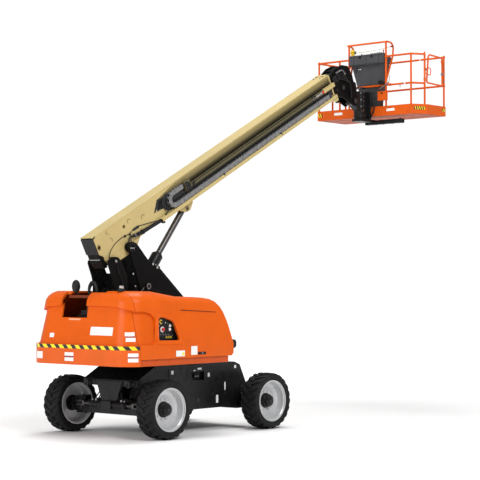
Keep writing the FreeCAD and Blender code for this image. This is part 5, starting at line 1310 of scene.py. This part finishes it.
# nose: ribs, bolts, pins, hose bundles, levelling cylinder's rod end
nz = Build(BM)
NU_, NW_ = A(5.020, 5.930)
for s in (-1, 1):
    y = s * 0.124
    for u, w, r in ((6.45, 0.26, 0.0), (6.36, 0.12, 0.0), (6.62, 0.33, 0.0)):
        nz.bolt((u, y, w), (0, s, 0), r=0.013, h=0.009, mat="steel_dark")
    nz.cyl((6.56, y, 0.08), (6.56, y + s * 0.006, 0.08), 0.052, "black_gloss", n=32)
    nz.cyl((6.56, y + s * 0.006, 0.08), (6.56, y + s * 0.010, 0.08), 0.032, "steel_dark", n=32)
    nz.cyl((6.72, y, 0.30), (6.72, y + s * 0.006, 0.30), 0.040, "black_gloss", n=32)
    nz.bolt((6.72, y + s * 0.006, 0.30), (0, s, 0), r=0.014, h=0.006, mat="zinc")
    nz.cyl((NU_, y, NW_), (NU_, y + s * 0.010, NW_), 0.062, "black_gloss", n=40)
    nz.cyl((NU_, y + s * 0.010, NW_), (NU_, y + s * 0.016, NW_), 0.040, "steel_dark", n=32)
    for i in range(5):
        an = 2 * math.pi * i / 5
        nz.bolt((NU_ + 0.050 * math.cos(an), y + s * 0.010, NW_ + 0.050 * math.sin(an)), (0, s, 0), r=0.005, h=0.003, mat="zinc", washer=False)
# strip on the boom's end and the cover's lip
nz.box(6.30, 6.47, -0.094, 0.094, 0.4285, 0.4345, "black_plastic")
# hoses leaving the fly tube over the nose
for k in range(5):
    y = -0.075 + 0.036 * k
    nz.tube([(6.36, y, 0.40), (6.50, y, 0.432 - 0.01 * (k % 2)), (6.66, y, 0.40), (6.78, y * 0.9, 0.315), (6.855, y * 0.8, 0.19), (6.862, y * 0.8, 0.05), (6.83, y * 0.8, -0.10)], 0.013, "rubber_hose", n=10, sub=6)
# hose loops outside on the right
for k in range(4):
    y = -0.138 - 0.0075 * k
    o = 0.026 * k
    nz.tube([(6.30, -0.135, 0.345 - o), (6.45, y, 0.372 - o), (6.60, y, 0.330 - o * 1.4), (6.70, y - 0.008, 0.225 - o), (6.735, y - 0.010, 0.09), (6.715, y, -0.06), (6.70, y * 0.8, -0.20)], 0.0115, "rubber_hose", n=10, sub=7)
nz.box(6.44, 6.485, -0.178, -0.124, 0.285, 0.395, "black_gloss")
nz.box(6.66, 6.70, -0.178, -0.124, 0.13, 0.20, "black_gloss")
nz.tube([(6.50, -0.150, 0.412), (6.62, -0.165, 0.405), (6.65, -0.168, 0.375), (6.66, -0.168, 0.325)], 0.009, "grey_steel", n=10, sub=5)
nz.box(6.46, 6.60, -0.148, -0.124, 0.400, 0.424, "grey_steel")
nz.make("nose_details", "boom_fly", "black_paint", bevel=0.0012, segs=1, angle=40)

# rotator: cylinder body, flanges, bolts, valve block and fittings
r_ = Build()
rb0, rb1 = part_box("rotator_housing")
RX = 5.310
z0r, z1r = rb0.z, rb1.z
for z in (z0r + 0.05, z1r - 0.09):
    for i in range(14):
        an = 2 * math.pi * i / 14
        r_.bolt((RX + 0.112 * math.cos(an), 0.112 * math.sin(an), z), (0, 0, 1), r=0.0085, h=0.008, mat="steel_dark")
    r_.cyl((RX, 0, z - 0.014), (RX, 0, z), 0.1235, "black_gloss", n=48)
for i in range(5):
    z = z0r + 0.16 + 0.085 * i
    r_.cyl((RX, -0.100, z), (RX, -0.1075, z), 0.014, "zinc", n=6)
    r_.cyl((RX, -0.1075, z), (RX, -0.1085, z), 0.010, "grey_steel", n=16)
for i in range(3):
    z = z0r + 0.20 + 0.13 * i
    r_.cyl((RX - 0.085, -0.10, z + 0.02), (RX - 0.085, -0.1070, z + 0.02), 0.012, "label_grey", n=6)
r_.box(RX - 0.07, RX + 0.02, -0.106, -0.09, z0r + 0.10, z0r + 0.155, "black_gloss")
for i in range(3):
    r_.cyl((RX - 0.055 + 0.03 * i, -0.104, z0r + 0.128), (RX - 0.055 + 0.03 * i, -0.1075, z0r + 0.128), 0.008, "zinc", n=6)
r_.make("rotator_details", "leveller", "black_paint", bevel=0.001, segs=1, angle=40)

pm = Build()
pb0, pb1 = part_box("platform_mount")
# mount under the deck: bolts, foot switch cable, control hoses
for x in (5.66, 5.72):
    for y in (-0.72, -0.50, -0.28, -0.10):
        pm.bolt((x, y, 5.520), (0, 0, -1), r=0.009, h=0.007, mat="steel_dark")
pm.box(5.636, 5.6395, -0.74, -0.12, 5.545, 5.575, "black_gloss")
pm.box(5.630, 5.6395, -0.765, -0.70, 5.515, 5.605, "black_plastic")
pm.tube([(5.53, -0.10, 5.62), (5.525, -0.16, 5.72), (5.52, -0.20, 5.86), (5.525, -0.17, 6.02), (5.56, -0.14, 6.12)], 0.013, "rubber_hose", n=10, sub=7)
pm.tube([(5.525, -0.05, 5.62), (5.515, -0.10, 5.74), (5.512, -0.13, 5.90), (5.52, -0.11, 6.08), (5.56, -0.09, 6.16)], 0.011, "rubber_hose", n=10, sub=7)
pm.tube([(5.525, 0.10, 5.62), (5.515, 0.14, 5.74), (5.512, 0.13, 5.90), (5.52, 0.09, 6.06), (5.56, 0.05, 6.14)], 0.011, "rubber_hose", n=10, sub=7)
pm.make("mount_details", "platform", "black_paint", bevel=0.001, segs=1, angle=40)

# ---------------------------------------------------------------- lift cylinder
detail("lift_cylinder_barrel", "black_gloss", 0.004, dissolve=0.2)
lc_ = Build(CM)
for u, r, h in ((1.531, 0.0965, 0.018), (1.575, 0.0965, 0.012), (1.655, 0.0965, 0.014)):
    lc_.cyl((u, 0, 0), (u + h, 0, 0), r, "black_gloss", n=56, inner=0.090)
for i in range(12):
    an = 2 * math.pi * i / 12
    lc_.cyl((1.6815, 0.074 * math.cos(an), 0.074 * math.sin(an)), (1.7145, 0.068 * math.cos(an), 0.068 * math.sin(an)), 0.0062, "steel_dark", n=6)
lc_.cyl((1.709, 0, 0), (1.722, 0, 0), 0.066, "steel_dark", n=48, inner=0.0526)
lc_.box(1.30, 1.40, 0.085, 0.116, -0.035, 0.035, "black_gloss")
lc_.tube([(1.32, 0.106, 0.0), (1.22, 0.116, 0.0), (0.80, 0.104, 0.0), (0.40, 0.103, 0.0), (0.22, 0.098, 0.02)], 0.0100, "grey_steel", n=10, sub=6)
lc_.tube([(1.36, 0.108, -0.02), (1.46, 0.116, -0.02), (1.56, 0.114, -0.02), (1.60, 0.102, -0.02)], 0.0095, "rubber_hose", n=10, sub=6)
lc_.box(0.22, 0.36, 0.080, 0.112, -0.050, 0.050, "black_gloss")
lc_.bolt((1.47, -0.092, 0.0), (0, -1, 0), r=0.008, h=0.006, mat="zinc")
lc_.make("cylinder_details", "lift_barrel", "black_paint", bevel=0.001, segs=1, angle=40)
le = Build(CM)
le.cyl((0.832, 0, 0), (2.668, 0, 0), 0.0518, "chrome_rod", n=96)
le.cyl((2.70, -0.0555, 0), (2.70, 0.0555, 0), 0.0585, "cream_gloss", n=40, inner=0.0305)
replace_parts(le.make("rod_smooth", "lift_rod", "chrome", bevel=0.001, segs=1), "lift_cylinder_rod")
lk = Build(BM)
lb0, lb1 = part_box("lift_bracket")
for s in (-1, 1):
    lk.cyl((1.618, s * 0.092, -0.085), (1.618, s * 0.099, -0.085), 0.050, "cream_side_shaded", n=36)
    lk.cyl((1.618, s * 0.099, -0.085), (1.618, s * 0.106, -0.085), 0.030, "steel_dark", n=28)
    lk.bolt((1.655, s * 0.099, -0.060), (0, s, 0), r=0.008, h=0.006, mat="zinc")
lk.make("bracket_pins", "boom_base", "cream_paint", bevel=0.001, segs=1)

# ---------------------------------------------------------------- platform
detail("platform_deck", "orange_rail", 0.0022)
for n_ in ("rail_rear", "rail_front", "rail_left", "rail_right", "platform_gate"):
    detail(n_, "orange_rail", 0.0, angle=50)
detail("operator_console", "grey_shell", 0.008, segs=3, angle=30)
detail("manual_box", "orange_rail", 0.005, segs=2)

PZ0 = 5.665
XR_, XF_ = 5.575, 6.441
p = Build()
# floor: raised tread diamonds
rows = 0
for i in range(11):
    for j in range(46):
        x = 5.66 + 0.072 * i
        y = -1.145 + 0.050 * j
        if y < -1.02 and x < 5.84:
            continue
        an = math.radians(45 if (i + j) % 2 else -45)
        dx, dy = math.cos(an), math.sin(an)
        l, w = 0.016, 0.0045
        z = PZ0 + 0.030
        v = [(x + dx * l, y + dy * l, z), (x - dy * w, y + dx * w, z), (x - dx * l, y - dy * l, z), (x + dy * w, y - dx * w, z), (x, y, z + 0.0035)]
        p.add(v, [(0, 1, 4), (1, 2, 4), (2, 3, 4), (3, 0, 4)], "orange_rail")
# rolled lip along the toe boards' top edge
def lip(pts, z, r=0.0065):
    p.tube([(x, y, z) for x, y in pts], r, "orange_rail", n=8)


CH = [(5.5555, 1.215), (5.5555, -1.0500), (5.8305, -1.2150), (6.4600, -1.2150), (6.4600, 1.215)]
p.tube([(x, y, PZ0 + 0.1865) for x, y in CH], 0.0042, "orange_rail", n=8, closed=True)
p.tube([(x, y, PZ0 + 0.006) for x, y in CH], 0.0042, "orange_rail", n=8, closed=True)
# closing sheet under the floor bars, in a dark orange: painted shade under the deck
p.prism([(5.558, 1.213), (5.558, -1.0485), (5.831, -1.2130), (6.4580, -1.2130), (6.4580, 1.213)], "xy", PZ0 + 0.0005, PZ0 + 0.0018, "orange_under_shaded")
# bolts that hold the toe boards
for y in (-0.95, -0.6, -0.2, 0.2, 0.6, 1.0):
    if abs(y) > 0.3:
        p.bolt((5.551, y, PZ0 + 0.05), (-1, 0, 0), r=0.007, h=0.004, mat="orange_rail", washer=False)
# post feet: welded pads on the floor
for x, y in ((XR_, 1.196), (XR_, 0.68), (XR_, 0.445), (XR_, -0.445), (XR_, -1.030), (5.815, -1.178), (XF_, 1.196), (XF_, 0.40), (XF_, -1.196), ((XR_ + XF_) / 2, 1.196)):
    p.cyl((x, y, PZ0 + 0.030), (x, y, PZ0 + 0.036), 0.023, "orange_rail", n=20)
    # clamp bolts to the toe board
    p.cyl((x, y, PZ0 + 0.150), (x, y, PZ0 + 0.170), 0.0215, "orange_rail", n=20)
# hazard marks on the toe boards: rear left corner, slanted corner, front right corner
def bars(c0, c1, z0, z1, n, slant, off, nrm):
    """Slanted black bars on yellow, on a flat face from c0 to c1."""
    L = math.hypot(c1[0] - c0[0], c1[1] - c0[1])
    tx, ty = (c1[0] - c0[0]) / L, (c1[1] - c0[1]) / L
    w = L / n

    def P(s, z):
        s = max(0, min(L, s))
        return (c0[0] + tx * s + nrm[0] * off, c0[1] + ty * s + nrm[1] * off, z)
    for k in range(-1, n + 1):
        for f0, f1, col in ((0.0, 0.60, "hazard_black_and_shade"), (0.60, 1.0, "hazard_yellow")):
            s0, s1 = k * w + w * f0, k * w + w * f1
            if min(s1 + max(0, slant), L) <= 0 or s0 + min(0, slant) >= L:
                continue
            p.add([P(s0, z0), P(s1, z0), P(s1 + slant, z1), P(s0 + slant, z1)], [(0, 1, 2, 3)], col)


nl = math.hypot(5.830 - 5.551, 0.170)
nx, ny = -0.170 / nl, -(5.830 - 5.551) / nl
bars((5.551 + 0.06 * (0.279 / nl), -1.050 - 0.06 * (0.170 / nl)), (5.551 + 0.29 * (0.279 / nl), -1.050 - 0.29 * (0.170 / nl)), PZ0 + 0.082, PZ0 + 0.142, 5, -0.018, 0.0006, (nx, ny))
# marks that must stay inside the box: set just proud of the toe board's own faces
def mark(x0, x1, y0, y1, z0, z1, n, along, slant=0.018):
    L = (y1 - y0) if along == "y" else (x1 - x0)
    w = L / n
    for k in range(n):
        for j, col in ((0, "hazard_black_and_shade"), (1, "hazard_yellow")):
            a, b_ = k * w + j * w / 2, k * w + (j + 1) * w / 2
            if along == "y":
                v = [(x0, y0 + a, z0), (x0, y0 + b_, z0), (x0, y0 + b_ + slant, z1), (x0, y0 + a + slant, z1)]
            else:
                v = [(x0 + a, y0, z0), (x0 + b_, y0, z0), (x0 + b_ + slant, y0, z1), (x0 + a + slant, y0, z1)]
            p.add(v, [(0, 1, 2, 3)], col)


mark(5.5502, 5.5502, 1.09, 1.19, PZ0 + 0.072, PZ0 + 0.140, 2, "y")
mark(6.33, 6.43, -1.2206, -1.2206, PZ0 + 0.085, PZ0 + 0.145, 2, "x")
mark(6.33, 6.43, 1.2206, 1.2206, PZ0 + 0.085, PZ0 + 0.145, 2, "x")
# blank labels on the rear toe board
for y0, y1 in ((0.60, 0.80), (-0.66, -0.47)):
    p.add([(5.5502, y0, PZ0 + 0.085), (5.5502, y1, PZ0 + 0.085), (5.5502, y1, PZ0 + 0.135), (5.5502, y0, PZ0 + 0.135)], [(0, 1, 2, 3)], "label_white")
# rail joints: weld collars where rails meet posts, end caps
for x, y in ((XR_, 1.196), (XR_, 0.68), (XR_, 0.445), (XR_, -0.445), (XR_, -1.030)):
    for z in (6.258, 6.815):
        p.cyl((x, y - 0.0215, z), (x, y + 0.0215, z), 0.0202, "orange_rail", n=18)
for y in (1.196, 0.40, -1.196):
    for z in (6.258, 6.815):
        p.cyl((XF_, y - 0.0215, z), (XF_, y + 0.0215, z), 0.0202, "orange_rail", n=18)
p.ball((XF_, -1.196, 6.832), 0.020, "orange_rail")
p.ball((XF_, 1.196, 6.832), 0.020, "orange_rail")
p.ball((XR_, 1.196, 6.828), 0.020, "orange_rail")
p.ball((5.815, -1.178, 6.838), 0.0195, "orange_rail")
p.cyl((5.815, -1.178, 6.815), (5.815, -1.178, 6.862), 0.0125, "orange_rail", n=14)
# curved brace under the left end of the top rail
p.tube([(XR_, 1.03, 6.800), (XR_, 0.93, 6.740), (XR_, 0.82, 6.700), (XR_, 0.70, 6.690)], 0.0125, "orange_rail", n=12, sub=8)
p.tube([(XR_, 0.70, 6.690), (XR_, 0.56, 6.692), (XR_, 0.46, 6.694)], 0.0125, "orange_rail", n=12, sub=4)
# lanyard anchor rings on the rear mid rail
for y in (-0.78, 0.80):
    pts = [(XR_ - 0.012, y + 0.024 * math.cos(t * 0.785), 6.258 - 0.042 + 0.024 * math.sin(t * 0.785)) for t in range(8)]
    p.tube(pts, 0.005, "zinc", n=8, closed=True)
p.box(XR_ - 0.021, XR_ + 0.021, -0.905, -0.875, 6.236, 6.280, "label_white")
p.box(XR_ - 0.021, XR_ + 0.021, -0.870, -0.860, 6.236, 6.280, "label_red")
p.box(XF_ - 0.021, XF_ + 0.021, -0.66, -0.64, 6.797, 6.833, "label_white")
p.make("platform_trim", "platform", "orange_paint", bevel=0.0)

# guard hoop: yellow and black pad, red beacon, pale trip cable and its ends
g = Build()
g.tube([(5.705, 0.468, 6.990), (5.735, 0.468, 6.900), (5.745, 0.468, 6.840)], 0.034, "hazard_black_and_shade", n=18, sub=4)
g.tube([(5.722, 0.468, 7.018), (5.712, 0.468, 6.998), (5.720, 0.468, 6.940), (5.732, 0.468, 6.895)], 0.0375, "yellow_plastic", n=18, sub=3)
g.cyl((5.775, 0.440, 6.80), (5.775, 0.440, 6.862), 0.016, "red_plastic", n=18)
g.cyl((5.775, 0.440, 6.862), (5.775, 0.440, 6.874), 0.020, "black_plastic", n=18)
g.cyl((5.70, 0.39, 6.885), (5.70, 0.39, 6.905), 0.012, "red_plastic", n=16)
g.tube([(5.745, 0.43, 6.985), (5.748, 0.22, 6.978), (5.750, 0.0, 6.984), (5.752, -0.22, 7.000), (5.752, -0.43, 7.026)], 0.0062, "cable_pale", n=8, sub=5)
g.cyl((5.750, -0.415, 7.024), (5.752, -0.452, 7.028), 0.013, "red_plastic", n=14)
g.ball((5.755, -0.470, 7.030), 0.022, "black_plastic", n=14)
g.box(5.73, 5.77, 0.415, 0.450, 6.96, 7.01, "black_plastic")
for s in (-1, 1):
    g.cyl((XR_, s * 0.445, 7.081), (XR_, s * 0.445, 7.100), 0.0215, "orange_rail", n=20)
g.make("guard_fittings", "platform", "grey_plastic", bevel=0.0)

# console: seams, lid, switches, joystick guards, hand controls and a cable loop
k = Build()
xb0 = XR_ - 0.042
# lid seam and side ribs of the control box
k.box(xb0 - 0.003, xb0, -0.405, 0.405, 6.700, 6.712, "grey_dark")
k.box(xb0 - 0.003, xb0, -0.405, 0.405, 6.858, 6.868, "grey_dark")
for y in (-0.30, 0.0, 0.30):
    k.box(xb0 - 0.004, xb0, y - 0.004, y + 0.004, 6.715, 6.855, "grey_dark")
k.box(xb0 - 0.012, xb0, -0.16, -0.10, 6.825, 6.862, "black_plastic")
k.box(xb0 - 0.012, xb0, 0.12, 0.18, 6.825, 6.862, "black_plastic")
# top panel: sloping face with switches
zt = lambda x: 6.890 - (x - (XR_ - 0.030)) * 0.090 / 0.275
for i in range(13):
    y = -0.36 + 0.060 * i
    for j in range(2):
        x = XR_ + 0.03 + 0.10 * j
        if (i + j) % 5 == 4:
            continue
        z = zt(x)
        k.cyl((x, y, z), (x, y, z + 0.007), 0.0095, "steel_dark", n=12)
        k.cyl((x, y, z + 0.007), (x + 0.004, y, z + 0.026), 0.0042, "zinc", n=8)
for y, c_ in ((-0.33, "red_plastic"), (0.33, "red_plastic"), (0.12, "yellow_plastic")):
    z = zt(XR_ + 0.19)
    k.cyl((XR_ + 0.19, y, z), (XR_ + 0.19, y, z + 0.018), 0.015, "black_plastic", n=16)
    k.cyl((XR_ + 0.19, y, z + 0.018), (XR_ + 0.19, y, z + 0.030), 0.022, c_, n=20, r1=0.018)
# joysticks with boots
for y in (-0.20, 0.22):
    x = XR_ + 0.12
    z = zt(x)
    for q in range(4):
        k.cyl((x, y, z + 0.008 * q), (x, y, z + 0.008 * (q + 1)), 0.030 - 0.005 * q, "rubber_hose", n=20, r1=0.027 - 0.005 * q)
    k.tube([(x, y, z + 0.03), (x - 0.004, y, z + 0.06), (x - 0.012, y, z + 0.095)], 0.012, "black_plastic", n=14, sub=4, rad=None)
# knobs and guard line along the box's back edge, seen from outside
for i in range(7):
    y = -0.34 + 0.040 * i
    k.ball((XR_ - 0.018, y, 6.898), 0.011, "black_plastic", n=10)
k.cyl((XR_ + 0.0, -0.385, 6.885), (XR_ + 0.0, -0.385, 6.93), 0.008, "black_plastic", n=12)
k.ball((XR_ + 0.0, -0.385, 6.938), 0.015, "red_plastic", n=12)
# body: pressed panel, seams, screws, small blank marks
xk = XR_ + 0.024
k.prism([(-0.345, 6.640), (0.340, 6.640), (0.235, 6.300), (-0.290, 6.300)], "yz", xk - 0.006, xk, "grey_shell")
k.prism([(-0.262, 6.105), (0.135, 6.105), (0.112, 5.76), (-0.232, 5.76)], "yz", xk, xk + 0.006, "grey_shell")
k.box(xk - 0.002, xk, -0.32, 0.22, 6.133, 6.139, "grey_dark")
k.box(xk - 0.008, xk - 0.006, 0.16, 0.235, 6.612, 6.622, "label_white")
for y, z in ((-0.33, 6.62), (0.32, 6.62), (-0.275, 6.32), (0.222, 6.32)):
    k.bolt((xk - 0.006, y, z), (-1, 0, 0), r=0.006, h=0.004, mat="zinc", washer=False)
# cable loop at the upper left of the body
loop = [(XR_ - 0.035, 0.330 + 0.105 * math.cos(t * math.pi / 8), 6.610 + 0.085 * math.sin(t * math.pi / 8)) for t in range(-3, 11)]
k.tube(loop, 0.0075, "rubber_hose", n=10, sub=3)
# brackets and latches that carry the console on the rail
k.box(XR_ + 0.019, XR_ + 0.034, -0.36, -0.29, 6.285, 6.345, "black_plastic")
k.box(XR_ - 0.060, XR_ - 0.0195, -0.365, -0.30, 6.280, 6.350, "black_plastic")
k.box(XR_ - 0.060, XR_ - 0.0195, -0.425, -0.39, 6.27, 6.32, "black_plastic")
# grey holder tube that leans out on the right
k.tube([(XR_ - 0.03, -0.30, 6.175), (XR_ - 0.045, -0.40, 6.225), (XR_ - 0.045, -0.50, 6.275), (XR_ - 0.040, -0.545, 6.315)], 0.012, "grey_steel", n=12, sub=6)
k.tube([(XR_ - 0.040, -0.545, 6.315), (XR_ - 0.038, -0.553, 6.37), (XR_ - 0.038, -0.560, 6.44)], 0.0055, "grey_steel", n=8, sub=3)
k.tube([(XR_ - 0.045, -0.50, 6.275), (XR_ - 0.045, -0.56, 6.28), (XR_ - 0.045, -0.60, 6.268), (XR_ - 0.045, -0.60, 6.24), (XR_ - 0.045, -0.565, 6.225)], 0.006, "orange_rail", n=8, sub=4)
k.make("console_details", "platform", "grey_plastic", bevel=0.0012, segs=1, angle=40)
mb = Build()
mb.box(5.487, 5.557, -0.502, -0.298, 6.112, 6.132, "orange_rail")
mb.box(5.4875, 5.490, -0.425, -0.375, 6.085, 6.115, "black_plastic")
for s in (-1, 1):
    mb.tube([(5.556, -0.40 + s * 0.07, 6.11), (5.565, -0.40 + s * 0.07, 6.20), (5.553, -0.40 + s * 0.07, 6.262), (5.575, -0.40 + s * 0.07, 6.279), (5.597, -0.40 + s * 0.07, 6.262)], 0.004, "zinc", n=8, sub=4) if False else None
mb.make("manual_box_lid", "platform", "orange_paint", bevel=0.002, segs=2)

# gate: hinge knuckles, latch loop and the spring catch on the post
gt = Build()
gb0, gb1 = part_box("platform_gate")
gx0, gx1 = gb0.x + X0, gb1.x + X0
GY = -1.196
gt.tube([(gx0 + 0.050, GY, 6.42), (gx0 + 0.090, GY, 6.425), (gx0 + 0.135, GY, 6.435), (gx0 + 0.150, GY, 6.49), (gx0 + 0.142, GY, 6.545), (gx0 + 0.095, GY, 6.560), (gx0 + 0.060, GY, 6.555)], 0.0095, "orange_rail", n=12, sub=6)
gt.box(gx0 + 0.028, gx0 + 0.060, GY - 0.012, GY + 0.012, 6.42, 6.44, "orange_rail")
gt.box(gx0 + 0.028, gx0 + 0.060, GY - 0.012, GY + 0.012, 6.54, 6.56, "orange_rail")
gt.tube([(gx1 - 0.045, GY, 6.735), (gx1 - 0.030, GY, 6.70), (gx1 - 0.020, GY, 6.64)], 0.013, "orange_rail", n=10, sub=4)
gt.box(gx1 - 0.036, gx1 + 0.004, GY - 0.0195, GY + 0.0195, 6.46, 6.50, "zinc")
gt.make("gate_latch", "gate", "orange_paint", bevel=0.0)
gp = Build()
gp.tube([(5.833, -1.186, 6.445), (5.862, -1.19, 6.46), (5.868, -1.19, 6.49), (5.862, -1.19, 6.52), (5.833, -1.186, 6.535)], 0.0075, "orange_rail", n=10, sub=5)
gp.box(5.832, 5.846, -1.196, -1.170, 6.50, 6.55, "zinc")
gp.cyl((5.815, -1.178, 6.31), (5.815, -1.178, 6.36), 0.0225, "orange_rail", n=18)
for z in (6.34, 6.62):
    gp.box(6.407, 6.424, -1.206, -1.186, z - 0.02, z + 0.02, "zinc")
gp.make("gate_post_fittings", "platform", "orange_paint", bevel=0.0)
